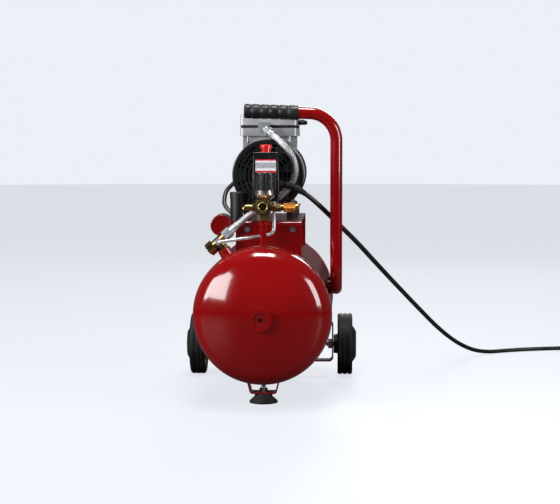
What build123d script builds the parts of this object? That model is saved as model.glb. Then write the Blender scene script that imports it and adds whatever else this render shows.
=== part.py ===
from build123d import *
import math
import os

os.makedirs("parts", exist_ok=True)

# A 24 litre twin-cylinder oil-free workshop compressor on a horizontal tank.
# Millimetres. +X is to the right, +Y runs along the tank to its wheel end, +Z is up.
# The origin is on the floor, under the middle of the tank.

# Tank: a rolled cylinder with two dished heads
tank_od = 250.0
tank_wall = 2.5
tank_straight = 405.0
tank_clearance = 40.0
axis_z = tank_clearance + tank_od / 2
tank_top = axis_z + tank_od / 2
tank_front = -tank_straight / 2
crown_r = 225.0
knuckle_r = 42.5
end_bung_od = 40.0
end_plug_od = 26.0
end_bung_out = 11.0
hex_key = 9.0

# Wheels and feet
wheel_d = 125.0
tyre_width = 30.4
wheel_x = tank_od / 2 + 25.5
wheel_y = -tank_front - 16.0
rim_r = 43.0
axle_d = 10.0
running_gap = 0.05
side_gap = 0.4
strap = 3.0
strap_width = 30.0
foot_y = tank_front + 46.0
foot_h = 17.2

# Handle: a bent tube with a rubber grip
handle_x = tank_od / 2 + 7.5
handle_y = tank_front + 45.5
handle_d = 22.0
handle_wall = 1.5
handle_low_z = axis_z + 42.0
handle_top_z = tank_top + 237.5
handle_reach = 164.0
handle_rear = 197.0
handle_tilt = 2.0
grip_d = 26.6
grip_len = 100.0

# Saddle plate between the tank and the pump
saddle_x = 10.0
saddle_w = 120.0
saddle_top = tank_top + 44.0
saddle_front = tank_front + 37.5
saddle_len = 310.0

# Pump: motor in the middle, a crankcase, a cylinder and a fan at each end
pump_x = 6.0
pump_y = saddle_front + 185.0
shaft_z = saddle_top + 82.5
case_w = 96.0
case_top = shaft_z + 72.1
case_len = 60.0
case_gap = 78.0
cover_od = 132.0
cover_len = 36.0
cover_wall = 2.5
shaft_d = 12.0
bore_d = 48.0
stroke = 18.0
head_w = 106.0
head_len = 72.0
head_top = case_top + 40.4
stator_od = 112.0
rotor_od = 60.0
foot_dx = 43.0
foot_dy = 77.0
mount_d = 20.0
mount_h = 16.0

# Air fittings at the front
air_x = 2.0
air_y = tank_front + 7.5
reg_x = 5.0
reg_y = air_y - 5.0
riser_d = 12.0
riser_top = tank_top + 48.0
block_low = riser_top + 12.0
block_top = block_low + 24.0
port_z = block_low + 12.0
knob_d = 40.0
switch_low = saddle_top + 36.0
switch_split = switch_low + 40.0
switch_top = switch_low + 89.0
switch_y = tank_front + 43.5
switch_w = 49.0
switch_deep = 38.0
button_d = 17.5
button_travel = 5.0

# Check valve on the left shoulder of the tank
valve_y = tank_front + 26.5
valve_angle = 31.0
valve_r = tank_od / 2 + 29.5
hose_angle = 42.0
hose_d = 11.5
tube_d = 6.0

# Mains lead
lead_d = 9.0
gland_z = switch_low + 29.0

tank_r = tank_od / 2
half_straight = tank_straight / 2
crown_back = math.sqrt((crown_r - knuckle_r) ** 2 - (tank_r - knuckle_r) ** 2)
head_depth = crown_r - crown_back
tank_end = half_straight + head_depth
knuckle_turn = math.degrees(math.acos((tank_r - knuckle_r) / (crown_r - knuckle_r)))
tank_axis = Axis((0, 0, axis_z), (0, 1, 0))


def vessel(inset):
    """The solid inside the tank's outer surface, inset by a wall."""
    r = tank_r - inset
    with BuildPart() as body:
        with BuildSketch(Plane.YZ):
            with BuildLine():
                side = Line((-half_straight, axis_z + r), (half_straight, axis_z + r))
                knuckle = JernArc(side @ 1, (1, 0), knuckle_r - inset, -knuckle_turn)
                crown = JernArc(knuckle @ 1, knuckle % 1, crown_r - inset, knuckle_turn - 90)
                far_knuckle = JernArc(side @ 0, (-1, 0), knuckle_r - inset, knuckle_turn)
                far_crown = JernArc(
                    far_knuckle @ 1, far_knuckle % 1, crown_r - inset, 90 - knuckle_turn
                )
                Line(crown @ 1, far_crown @ 1)
            make_face()
        revolve(axis=tank_axis)
    return body.part


valve_dir = Vector(
    -math.sin(math.radians(valve_angle)), 0, math.cos(math.radians(valve_angle))
)
valve_foot = Vector(0, valve_y, axis_z)
drain_y = -60.0
drain_bung_d = 20.0
drain_thread_d = 12.0
valve_bung_d = 24.0
valve_thread_d = 14.0
riser_weld_d = 22.0

# Tank shell: two dished heads welded to a rolled barrel, with holes for the bungs
outer_vessel = vessel(0)
inner_vessel = vessel(tank_wall)
with BuildPart() as tank_shell:
    add(outer_vessel)
    add(inner_vessel, mode=Mode.SUBTRACT)
    with Locations(Location((0, 0, axis_z), (90, 0, 0))):
        Cylinder(end_bung_od / 2, 2 * tank_end + 40, mode=Mode.SUBTRACT)
    with BuildSketch(Plane.XY.offset(axis_z)):
        with Locations((air_x, air_y)):
            Circle(riser_d / 2)
    extrude(amount=tank_r + 10, mode=Mode.SUBTRACT)
    with BuildSketch(Plane.XY):
        with Locations((0, drain_y)):
            Circle(drain_bung_d / 2)
    extrude(amount=axis_z / 2, mode=Mode.SUBTRACT)
    with BuildSketch(Plane(origin=valve_foot, z_dir=valve_dir)):
        Circle(valve_bung_d / 2)
    extrude(amount=tank_r + 20, mode=Mode.SUBTRACT)
tank_shell.part.label = "tank_shell"
export_step(tank_shell.part, "parts/tank_shell.step")

# Bungs: threaded steel bosses welded into the heads, the shoulder and the belly
valve_bung_low = tank_r - 8
valve_bung_top = tank_r + 13.5
with BuildPart() as tank_bungs:
    for side in (-1, 1):
        face = Plane(origin=(0, side * (tank_end - 6), axis_z), z_dir=(0, side, 0))
        with BuildSketch(face):
            Circle(end_bung_od / 2)
            Circle(end_plug_od / 2, mode=Mode.SUBTRACT)
        extrude(amount=6 + end_bung_out)
    with BuildSketch(Plane(origin=valve_foot + valve_dir * valve_bung_low, z_dir=valve_dir)):
        Circle(valve_bung_d / 2)
        Circle(valve_thread_d / 2, mode=Mode.SUBTRACT)
    extrude(amount=valve_bung_top - valve_bung_low)
    with BuildSketch(Plane.XY.offset(axis_z - tank_r - 3)):
        with Locations((0, drain_y)):
            Circle(drain_bung_d / 2)
            Circle(drain_thread_d / 2, mode=Mode.SUBTRACT)
    extrude(amount=11)
    with BuildSketch(Plane.XY.offset(axis_z + tank_r - 4)):
        with Locations((air_x, air_y)):
            Circle(riser_weld_d / 2)
    extrude(amount=9, taper=30)
    with BuildSketch(Plane.XY.offset(axis_z)):
        with Locations((air_x, air_y)):
            Circle(riser_d / 2)
    extrude(amount=tank_od, mode=Mode.SUBTRACT)
    with BuildSketch(Plane.YZ):
        with Locations((air_y, axis_z + tank_r / 2)):
            Rectangle(40, tank_r)
    revolve(axis=tank_axis, mode=Mode.SUBTRACT)
tank_bungs.part.label = "tank_bungs"
export_step(tank_bungs.part, "parts/tank_bungs.step")

# Plugs: steel socket plugs screwed into the end bungs
with BuildPart() as tank_end_plugs:
    for side in (-1, 1):
        face = Plane(origin=(0, side * (tank_end - 4), axis_z), z_dir=(0, side, 0))
        with BuildSketch(face):
            Circle(end_plug_od / 2)
        extrude(amount=4 + end_bung_out - 3)
        with BuildSketch(face.offset(4 + end_bung_out - 3)):
            RegularPolygon(hex_key / 2, 6, major_radius=False)
        extrude(amount=-7, mode=Mode.SUBTRACT)
tank_end_plugs.part.label = "tank_end_plugs"
export_step(tank_end_plugs.part, "parts/tank_end_plugs.step")

# Drain valve: a brass body under the tank with a knurled tap that screws into it
drain_top = axis_z - tank_r - 3
drain_hex = 19.0
drain_tap_d = 13.0
drain_stem_d = 6.0
with BuildPart() as drain_valve_body:
    with BuildSketch(Plane.XY.offset(drain_top - 8)):
        with Locations((0, drain_y)):
            RegularPolygon(drain_hex / 2, 6, major_radius=False)
    extrude(amount=8)
    with BuildSketch(Plane.XY.offset(drain_top)):
        with Locations((0, drain_y)):
            Circle(drain_thread_d / 2)
    extrude(amount=9)
    with BuildSketch(Plane.XY.offset(drain_top - 8)):
        with Locations((0, drain_y)):
            Circle(drain_stem_d / 2 + running_gap)
    extrude(amount=12, mode=Mode.SUBTRACT)
drain_valve_body.part.label = "drain_valve_body"
export_step(drain_valve_body.part, "parts/drain_valve_body.step")

with BuildPart() as drain_valve_tap:
    with BuildSketch(Plane.XY.offset(drain_top - 16.5)):
        with Locations((0, drain_y)):
            Circle(drain_tap_d / 2)
            with PolarLocations(drain_tap_d / 2, 12):
                Circle(0.8, mode=Mode.SUBTRACT)
    extrude(amount=8)
    with BuildSketch(Plane.XY.offset(drain_top - 8.5)):
        with Locations((0, drain_y)):
            Circle(drain_stem_d / 2)
    extrude(amount=11)
drain_valve_tap.part.label = "drain_valve_tap"
export_step(drain_valve_tap.part, "parts/drain_valve_tap.step")

# Front foot bracket: a flat bar bent into a U and welded across the belly
foot_plate_z = foot_h + strap
foot_half = 23.0
foot_top_half = 30.0
foot_top_z = axis_z - math.sqrt(tank_r**2 - foot_top_half**2) + 3
with BuildPart() as front_foot_bracket:
    with BuildSketch(Plane.XZ.offset(-foot_y - strap_width / 2)):
        with BuildLine():
            FilletPolyline(
                (-foot_top_half, foot_top_z),
                (-foot_half, foot_h + strap / 2),
                (foot_half, foot_h + strap / 2),
                (foot_top_half, foot_top_z),
                radius=5,
            )
        trace(line_width=strap)
    extrude(amount=strap_width)
    add(outer_vessel, mode=Mode.SUBTRACT)
    with BuildSketch(Plane.XY):
        with Locations((0, foot_y)):
            Circle(4.2)
    extrude(amount=foot_plate_z + 5, mode=Mode.SUBTRACT)
front_foot_bracket.part.label = "front_foot_bracket"
export_step(front_foot_bracket.part, "parts/front_foot_bracket.step")

# Front foot: a flared rubber cup
foot_top_r = 15.5
foot_low_r = 26.0
with BuildPart() as front_foot:
    with BuildSketch(Plane.XZ.offset(-foot_y)):
        with BuildLine():
            Polyline(
                (4.2, foot_h),
                (foot_top_r, foot_h),
                (foot_top_r + 1.5, foot_h - 6),
                (foot_low_r, 3),
                (foot_low_r, 0),
                (foot_low_r - 4, 0),
                (12, 8),
                (4.2, 8),
                close=True,
            )
        make_face()
    revolve(axis=Axis((0, foot_y, 0), (0, 0, 1)))
front_foot.part.label = "front_foot"
export_step(front_foot.part, "parts/front_foot.step")

# Wheel bracket: a flat bar that passes under the tank and turns up beside each wheel
upright_x = wheel_x - 25.0
bracket_low = tank_clearance - 11.5
bracket_top = wheel_d / 2 + 45.5
bracket_bend = 8.0
bracket_in = math.sqrt(tank_r**2 - (bracket_top - axis_z) ** 2) - 4
with BuildPart() as wheel_bracket:
    with BuildSketch(Plane.XZ.offset(-wheel_y - strap_width / 2)):
        with BuildLine():
            FilletPolyline(
                (-bracket_in, bracket_top),
                (-upright_x, bracket_top),
                (-upright_x, bracket_low),
                (upright_x, bracket_low),
                (upright_x, bracket_top),
                (bracket_in, bracket_top),
                radius=bracket_bend,
            )
        trace(line_width=strap)
    extrude(amount=strap_width)
    add(outer_vessel, mode=Mode.SUBTRACT)
    with Locations(Location((0, wheel_y, wheel_d / 2), (0, 90, 0))):
        Cylinder(axle_d / 2, 2 * upright_x + 20, mode=Mode.SUBTRACT)
wheel_bracket.part.label = "wheel_bracket"
export_step(wheel_bracket.part, "parts/wheel_bracket.step")

# Bolts of both brackets: two axle bolts with inner nuts, and the foot bolt with its nut
hub_in = upright_x + strap / 2 + side_gap
hub_out = wheel_x + 23
head_seat = hub_out - 10
bolt_hex = 17.0
with BuildPart() as bracket_bolts:
    for side in (-1, 1):
        seat = Plane(origin=(side * head_seat, wheel_y, wheel_d / 2), z_dir=(side, 0, 0))
        with BuildSketch(seat.offset(side_gap)):
            RegularPolygon(bolt_hex / 2, 6, major_radius=False)
        extrude(amount=6.5)
        with BuildSketch(seat.offset(side_gap)):
            Circle(axle_d / 2)
        extrude(amount=-(head_seat - upright_x + 14))
        inner = Plane(
            origin=(side * (upright_x - strap / 2), wheel_y, wheel_d / 2), z_dir=(-side, 0, 0)
        )
        with BuildSketch(inner):
            RegularPolygon(bolt_hex / 2, 6, major_radius=False)
            Circle(axle_d / 2 + running_gap, mode=Mode.SUBTRACT)
        extrude(amount=8)
    with BuildSketch(Plane.XY.offset(8)):
        with Locations((0, foot_y)):
            Circle(4)
    extrude(amount=foot_plate_z + 12 - 8)
    with BuildSketch(Plane.XY.offset(5)):
        with Locations((0, foot_y)):
            RegularPolygon(6.5, 6, major_radius=False)
    extrude(amount=3)
    with BuildSketch(Plane.XY.offset(foot_plate_z)):
        with Locations((0, foot_y)):
            RegularPolygon(6.5, 6, major_radius=False)
            Circle(4 + running_gap, mode=Mode.SUBTRACT)
    extrude(amount=6.5)
bracket_bolts.part.label = "bracket_bolts"
export_step(bracket_bolts.part, "parts/bracket_bolts.step")


def hub_profile(side):
    """A moulded wheel's section: rim, web, inner boss and a domed outer boss."""
    low = hub_in - wheel_x
    out = hub_out - wheel_x
    bore = axle_d / 2 + running_gap
    seat = head_seat - wheel_x
    with BuildPart() as hub:
        with BuildSketch(Plane.XY):
            with BuildLine():
                Polyline(
                    (low, bore),
                    (low, 19),
                    (-12, 21),
                    (-4, 22),
                    (-4, rim_r - 5),
                    (-13, rim_r - 4),
                    (-13, rim_r),
                    (13, rim_r),
                    (13, rim_r - 3),
                    (out - 4, 33),
                    (out, 26),
                    (out, 14),
                    (seat, 12.5),
                    (seat, bore),
                    close=True,
                )
            make_face()
        revolve(axis=Axis.X)
    turned = hub.part if side > 0 else hub.part.mirror(Plane.YZ)
    return Pos(side * wheel_x, wheel_y, wheel_d / 2) * turned


def tyre_ring(side):
    """A solid rubber tyre with rounded shoulders and two grooves round its tread."""
    half = tyre_width / 2
    with BuildPart() as tyre:
        with BuildSketch(Plane.XY):
            with Locations((0, (wheel_d / 2 + rim_r) / 2)):
                RectangleRounded(tyre_width, wheel_d / 2 - rim_r, 4.5)
            with Locations((0, rim_r + 3)):
                Rectangle(26, 6)
            for groove in (-half / 3, half / 3):
                with Locations((groove, wheel_d / 2)):
                    Rectangle(2.4, 3.6, mode=Mode.SUBTRACT)
        revolve(axis=Axis.X)
    return Pos(side * wheel_x, wheel_y, wheel_d / 2) * tyre.part


# Wheels: a moulded hub and a rubber tyre on each side
left_hub_solid = hub_profile(-1)
right_hub_solid = hub_profile(1)
left_tyre_solid = tyre_ring(-1)
right_tyre_solid = tyre_ring(1)

with BuildPart() as left_wheel_hub:
    add(left_hub_solid)
left_wheel_hub.part.label = "left_wheel_hub"
export_step(left_wheel_hub.part, "parts/left_wheel_hub.step")

with BuildPart() as right_wheel_hub:
    add(right_hub_solid)
right_wheel_hub.part.label = "right_wheel_hub"
export_step(right_wheel_hub.part, "parts/right_wheel_hub.step")

with BuildPart() as left_tyre:
    add(left_tyre_solid)
left_tyre.part.label = "left_tyre"
export_step(left_tyre.part, "parts/left_tyre.step")

with BuildPart() as right_tyre:
    add(right_tyre_solid)
right_tyre.part.label = "right_tyre"
export_step(right_tyre.part, "parts/right_tyre.step")

# Handle: a steel tube along the tank, up at the front corner and across the top
arm_rise = handle_reach * math.tan(math.radians(handle_tilt))
handle_points = [
    (handle_x, handle_y + handle_rear, handle_low_z),
    (handle_x, handle_y, handle_low_z),
    (handle_x, handle_y, handle_top_z),
    (handle_x - handle_reach, handle_y, handle_top_z + arm_rise),
]
with BuildPart() as handle_tube:
    with BuildLine():
        FilletPolyline(*handle_points, radius=[45, 50])
    with BuildSketch(Plane(origin=handle_points[0], z_dir=(0, -1, 0))):
        Circle(handle_d / 2)
        Circle(handle_d / 2 - handle_wall, mode=Mode.SUBTRACT)
    sweep()
    with BuildSketch(Plane(origin=handle_points[0], z_dir=(0, -1, 0))):
        Circle(handle_d / 2 - handle_wall)
    extrude(amount=2)
handle_tube.part.label = "handle_tube"
export_step(handle_tube.part, "parts/handle_tube.step")

# Grip: a blind ribbed rubber sleeve pushed over the arm's free end
arm_dir = Vector(-handle_reach, 0, arm_rise).normalized()
grip_end = Vector(handle_x - handle_reach, handle_y, handle_top_z + arm_rise)
grip_cap = 4.0
grip_grooves = 5
with BuildPart() as handle_grip:
    with BuildSketch(Plane(origin=grip_end + arm_dir * grip_cap, z_dir=arm_dir * -1)):
        Circle(grip_d / 2)
    extrude(amount=grip_len)
    fillet(handle_grip.edges().sort_by(Axis.X)[0], 3)
    with BuildSketch(Plane(origin=grip_end, z_dir=arm_dir * -1)):
        Circle(handle_d / 2)
    extrude(amount=grip_len, mode=Mode.SUBTRACT)
    for groove in range(grip_grooves):
        place = grip_end - arm_dir * (10 + groove * 16.7)
        with BuildSketch(Plane(origin=place, z_dir=arm_dir * -1)):
            Circle(grip_d / 2 + 1)
            Circle(grip_d / 2 - 1.2, mode=Mode.SUBTRACT)
        extrude(amount=2, mode=Mode.SUBTRACT)
handle_grip.part.label = "handle_grip"
export_step(handle_grip.part, "parts/handle_grip.step")

# Handle clamps: two rubber saddles between the tube and the side of the tank
clamp_len = 20.0
with BuildPart() as handle_clamps:
    for clamp_y in (handle_y + 62, handle_y + handle_rear - 25):
        with Locations((handle_x - 8, clamp_y, handle_low_z)):
            Box(16, clamp_len, 22)
    with BuildLine():
        Line(handle_points[0], (handle_x, handle_y, handle_low_z))
    with BuildSketch(Plane(origin=handle_points[0], z_dir=(0, -1, 0))):
        Circle(handle_d / 2)
    sweep(mode=Mode.SUBTRACT)
    add(outer_vessel, mode=Mode.SUBTRACT)
    with Locations((handle_x + 20, handle_y + 100, handle_low_z)):
        Box(40, 400, 60, mode=Mode.SUBTRACT)
handle_clamps.part.label = "handle_clamps"
export_step(handle_clamps.part, "parts/handle_clamps.step")

# Saddle: a bent plate welded to the top of the tank, which carries the pump
saddle_back = saddle_front + saddle_len
saddle_left = saddle_x - saddle_w / 2
ledge_left = -62.0
can_x = -82.0
can_z = saddle_top - 12.0
can_r = 20.0
can_front = saddle_front + 65.0
can_len = 62.0
plate_mid = saddle_top - strap / 2
m6_r = 3.0
m6_hex = 10.0
flange_bolts_x = (-29.0, 54.0)
flange_bolt_z = saddle_top - 15.0
mount_places = [
    (pump_x + i * foot_dx, pump_y + j * foot_dy) for i in (-1, 1) for j in (-1, 1)
]
with BuildPart() as pump_saddle:
    with BuildSketch(Plane.YZ.offset(saddle_left)):
        with BuildLine():
            FilletPolyline(
                (saddle_front + strap / 2, axis_z + tank_r / 2),
                (saddle_front + strap / 2, plate_mid),
                (saddle_back - strap / 2, plate_mid),
                (saddle_back - strap / 2, axis_z + tank_r / 2),
                radius=6,
            )
        trace(line_width=strap)
    extrude(amount=saddle_w)
    with Locations(((ledge_left + saddle_left) / 2, saddle_front + 75, plate_mid)):
        Box(saddle_left - ledge_left, 140, strap)
    with Locations((ledge_left - 1, can_front + can_len / 2, plate_mid - 5)):
        Box(3, can_len - 20, 13)
    add(outer_vessel, mode=Mode.SUBTRACT)
    with BuildSketch(Plane.XZ.offset(-can_front)):
        with Locations((can_x, can_z)):
            Circle(can_r)
    extrude(amount=-can_len, mode=Mode.SUBTRACT)
    with BuildSketch(Plane.XY.offset(saddle_top + 5)):
        with Locations(*mount_places):
            Circle(m6_r + 0.3)
    extrude(amount=-20, mode=Mode.SUBTRACT)
    with BuildSketch(Plane.XZ.offset(-saddle_front + 5)):
        with Locations(*[(x, flange_bolt_z) for x in flange_bolts_x]):
            Circle(m6_r + 0.3)
    extrude(amount=-15, mode=Mode.SUBTRACT)
pump_saddle.part.label = "pump_saddle"
export_step(pump_saddle.part, "parts/pump_saddle.step")

# Rubber mounts: four cylindrical isolators between the saddle and the pump's feet
mount_top = saddle_top + mount_h
foot_t = 5.0
with BuildPart() as rubber_mounts:
    with BuildSketch(Plane.XY.offset(saddle_top)):
        with Locations(*mount_places):
            Circle(mount_d / 2)
            Circle(m6_r + 0.3, mode=Mode.SUBTRACT)
    extrude(amount=mount_h)
rubber_mounts.part.label = "rubber_mounts"
export_step(rubber_mounts.part, "parts/rubber_mounts.step")

# M6 fasteners: four mount bolts with nuts, and two bolts through the front flange
with BuildPart() as mount_bolts:
    with BuildSketch(Plane.XY.offset(saddle_top - strap - 4)):
        with Locations(*mount_places):
            RegularPolygon(m6_hex / 2, 6, major_radius=False)
    extrude(amount=4)
    with BuildSketch(Plane.XY.offset(saddle_top - strap)):
        with Locations(*mount_places):
            Circle(m6_r)
    extrude(amount=strap + mount_h + foot_t + 8)
    with BuildSketch(Plane.XY.offset(mount_top + foot_t)):
        with Locations(*mount_places):
            RegularPolygon(m6_hex / 2, 6, major_radius=False)
            Circle(m6_r + running_gap, mode=Mode.SUBTRACT)
    extrude(amount=5)
    flange_face = Plane.XZ.offset(-saddle_front)
    with BuildSketch(flange_face):
        with Locations(*[(x, flange_bolt_z) for x in flange_bolts_x]):
            RegularPolygon(m6_hex / 2, 6, major_radius=False)
    extrude(amount=4)
    with BuildSketch(flange_face):
        with Locations(*[(x, flange_bolt_z) for x in flange_bolts_x]):
            Circle(m6_r)
    extrude(amount=-12)
mount_bolts.part.label = "mount_bolts"
export_step(mount_bolts.part, "parts/mount_bolts.step")

# Intake filter: a painted sheet-metal can beside the pump, with a rolled front rim
with BuildPart() as intake_filter:
    with BuildSketch(Plane.XZ.offset(-can_front - can_len)):
        with Locations((can_x, can_z)):
            Circle(can_r)
    extrude(amount=can_len)
    fillet(intake_filter.edges().filter_by(GeomType.CIRCLE), 2)
    with BuildSketch(Plane.XZ.offset(-can_front)):
        with Locations((can_x, can_z)):
            Circle(can_r - 2.5)
    extrude(amount=-1.5, mode=Mode.SUBTRACT)
intake_filter.part.label = "intake_filter"
export_step(intake_filter.part, "parts/intake_filter.step")

# Pump, built for the front half and mirrored to the rear
pump_mid = Plane.XZ.offset(-pump_y)
case_back = pump_y - case_gap / 2
case_front = case_back - case_len
cyl_y = case_back - case_len / 2
case_r = case_w / 2
case_wall = 6.0
cavity_top = case_top - 33.6
sleeve_wall = 3.0
bearing_r = 16.0
bearing_len = 8.0
spigot = 6.0
flange_t = 4.0
fin_gap = 3.0
head_low = case_top
plate_top = case_top + 14.4
gasket_top = case_top + 19.9
bolt_dx = 38.0
bolt_dy = 28.0
head_bolts_at = [(pump_x + i * bolt_dx, cyl_y + j * bolt_dy) for i in (-1, 1) for j in (-1, 1)]
with BuildPart() as front_crankcase:
    with BuildSketch(Plane.XZ.offset(-case_back)):
        with Locations((pump_x, shaft_z)):
            Circle(case_r)
        with Locations((pump_x, (shaft_z + case_top) / 2)):
            Rectangle(case_w, case_top - shaft_z)
    extrude(amount=case_len)
    with BuildSketch(Plane.XZ.offset(-case_front)):
        with Locations((pump_x, shaft_z)):
            Circle(cover_od / 2 - cover_wall)
    extrude(amount=flange_t)
    with BuildSketch(Plane.XZ.offset(-case_back)):
        with Locations((pump_x, shaft_z)):
            Circle(case_r)
            Circle(case_r - 4, mode=Mode.SUBTRACT)
    extrude(amount=-spigot)
    for i in (-1, 1):
        with Locations((pump_x + i * (foot_dx - 9), pump_y - foot_dy, mount_top + 21)):
            Box(6, 18, 42)
        with Locations((pump_x + i * foot_dx, pump_y - foot_dy, mount_top + foot_t / 2)):
            Box(24, 22, foot_t)
    with BuildSketch(Plane.XZ.offset(-case_back + bearing_len)):
        with Locations((pump_x, shaft_z)):
            Circle(case_r - case_wall)
        with Locations((pump_x, (shaft_z + cavity_top) / 2)):
            Rectangle(case_w - 2 * case_wall, cavity_top - shaft_z)
    extrude(amount=case_len, mode=Mode.SUBTRACT)
    with BuildSketch(Plane.XZ.offset(-case_back - 1)):
        with Locations((pump_x, shaft_z)):
            Circle(bearing_r)
    extrude(amount=bearing_len + 2, mode=Mode.SUBTRACT)
    with BuildSketch(Plane.XY.offset(cavity_top - 5)):
        with Locations((pump_x, cyl_y)):
            Circle(bore_d / 2 + sleeve_wall)
    extrude(amount=case_top - cavity_top + 10, mode=Mode.SUBTRACT)
    for fin_z in (459, 467, 475, 483):
        with BuildSketch(Plane.XY.offset(fin_z)):
            with Locations((pump_x, cyl_y + 6)):
                Rectangle(case_w + 20, case_len)
            with Locations((pump_x, cyl_y)):
                Rectangle(case_w - 2 * case_wall, case_len - 10, mode=Mode.SUBTRACT)
        extrude(amount=fin_gap, mode=Mode.SUBTRACT)
    with BuildSketch(Plane.XY.offset(case_top)):
        with Locations(*head_bolts_at):
            Circle(m6_r)
    extrude(amount=-14, mode=Mode.SUBTRACT)
    with BuildSketch(Plane.XY.offset(mount_top - 2)):
        with Locations(*mount_places):
            Circle(m6_r + 0.3)
    extrude(amount=foot_t + 4, mode=Mode.SUBTRACT)
front_crankcase.part.label = "front_crankcase"
export_step(front_crankcase.part, "parts/front_crankcase.step")

with BuildPart() as rear_crankcase:
    add(front_crankcase.part.mirror(pump_mid))
rear_crankcase.part.label = "rear_crankcase"
export_step(rear_crankcase.part, "parts/rear_crankcase.step")

# Motor stator: a laminated stack with cut corners, clamped between the crankcases
stator_len = case_gap - 2 * spigot
air_gap = 0.6
with BuildPart() as motor_stator:
    with BuildSketch(Plane.XZ.offset(-case_back - spigot)):
        with Locations((pump_x, shaft_z)):
            Circle(stator_od / 2)
            Rectangle(stator_od - 8, stator_od - 8, mode=Mode.INTERSECT)
            Circle(rotor_od / 2 + air_gap, mode=Mode.SUBTRACT)
            with PolarLocations(stator_od / 2 + 1, 4, start_angle=45):
                Circle(3.5, mode=Mode.SUBTRACT)
    extrude(amount=-stator_len)
motor_stator.part.label = "motor_stator"
export_step(motor_stator.part, "parts/motor_stator.step")

# Windings: the two end turns of copper beside the stack
with BuildPart() as stator_windings:
    for start, way in ((case_back + spigot, 1), (case_back + case_gap - spigot, -1)):
        with BuildSketch(Plane.XZ.offset(-start)):
            with Locations((pump_x, shaft_z)):
                Circle(case_r - 5)
                Circle(rotor_od / 2 + 4, mode=Mode.SUBTRACT)
        extrude(amount=way * (spigot - 0.5))
stator_windings.part.label = "stator_windings"
export_step(stator_windings.part, "parts/stator_windings.step")

# Bearings: a ball bearing in each crankcase wall
with BuildPart() as shaft_bearings:
    for start in (case_back, case_back + case_gap + bearing_len):
        with BuildSketch(Plane.XZ.offset(-start)):
            with Locations((pump_x, shaft_z)):
                Circle(bearing_r)
                Circle(shaft_d / 2 + running_gap, mode=Mode.SUBTRACT)
        extrude(amount=bearing_len)
shaft_bearings.part.label = "shaft_bearings"
export_step(shaft_bearings.part, "parts/shaft_bearings.step")

# Cylinder sleeves: hard-anodised liners pressed into the crankcases
cyl_places = [(pump_x, cyl_y), (pump_x, 2 * pump_y - cyl_y)]
with BuildPart() as cylinder_sleeves:
    with BuildSketch(Plane.XY.offset(cavity_top)):
        with Locations(*cyl_places):
            Circle(bore_d / 2 + sleeve_wall)
            Circle(bore_d / 2, mode=Mode.SUBTRACT)
    extrude(amount=case_top - cavity_top)
cylinder_sleeves.part.label = "cylinder_sleeves"
export_step(cylinder_sleeves.part, "parts/cylinder_sleeves.step")

# Piston: a one-piece rod and cup piston, drawn half way up its stroke
throw = stroke / 2
piston_top = case_top - 0.6 - throw
piston_t = 8.0
ring_in = 24.0
ring_out = 30.0
rod_t = 12.0
with BuildPart() as front_piston:
    with BuildSketch(Plane.XZ.offset(-cyl_y - rod_t / 2)):
        with Locations((pump_x, shaft_z)):
            Circle(ring_out)
        with Locations((pump_x, (shaft_z + ring_in + piston_top) / 2)):
            Rectangle(14, piston_top - shaft_z - ring_in)
        with Locations((pump_x, shaft_z)):
            Circle(ring_in, mode=Mode.SUBTRACT)
    extrude(amount=rod_t)
    with BuildSketch(Plane.XY.offset(piston_top - piston_t)):
        with Locations((pump_x, cyl_y)):
            Circle(bore_d / 2 - 0.3)
    extrude(amount=piston_t)
front_piston.part.label = "front_piston"
export_step(front_piston.part, "parts/front_piston.step")

with BuildPart() as rear_piston:
    add(front_piston.part.mirror(pump_mid))
rear_piston.part.label = "rear_piston"
export_step(rear_piston.part, "parts/rear_piston.step")

# Rotor: the shaft with the laminated core pressed on it, drawn as two solids
fan_y = case_front - 18.0
fan_r = 58.0
fan_t = 18.0
fan_blades = 9
shaft_front = case_front - 31.0
rotor_gap = 0.02
with BuildPart() as rotor:
    with BuildSketch(Plane.XZ.offset(-shaft_front)):
        with Locations((pump_x, shaft_z)):
            Circle(shaft_d / 2)
    extrude(amount=-2 * (pump_y - shaft_front))
    with BuildSketch(Plane.XZ.offset(-case_back - spigot)):
        with Locations((pump_x, shaft_z)):
            Circle(rotor_od / 2)
            Circle(shaft_d / 2 + rotor_gap, mode=Mode.SUBTRACT)
    extrude(amount=-stator_len)
rotor.part.label = "rotor"
export_step(rotor.part, "parts/rotor.step")

# Crank cams: an egg-shaped cam and a half-disc counterweight for each piston
weight_r = 34.0
with BuildPart() as front_cam:
    with BuildSketch(Plane.XZ.offset(-cyl_y - rod_t / 2 + 1)):
        with Locations((pump_x, shaft_z)):
            Circle(shaft_d / 2 + 3)
        with Locations((pump_x + throw - 1, shaft_z)):
            Circle(6)
        make_hull()
    extrude(amount=rod_t + 3)
    with BuildSketch(Plane.XZ.offset(-cyl_y + rod_t / 2 + 2)):
        with Locations((pump_x, shaft_z)):
            Circle(weight_r)
        with Locations((pump_x + weight_r - 6, shaft_z)):
            Rectangle(2 * weight_r, 2 * weight_r + 2, mode=Mode.SUBTRACT)
        with Locations((pump_x, shaft_z)):
            Circle(shaft_d / 2 + 3)
    extrude(amount=7)
    with BuildSketch(Plane.XZ.offset(-pump_y)):
        with Locations((pump_x, shaft_z)):
            Circle(shaft_d / 2)
    extrude(amount=200, mode=Mode.SUBTRACT)

with BuildPart() as crank_cams:
    add(front_cam.part)
    add(front_cam.part.mirror(pump_mid))
crank_cams.part.label = "crank_cams"
export_step(crank_cams.part, "parts/crank_cams.step")

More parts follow.
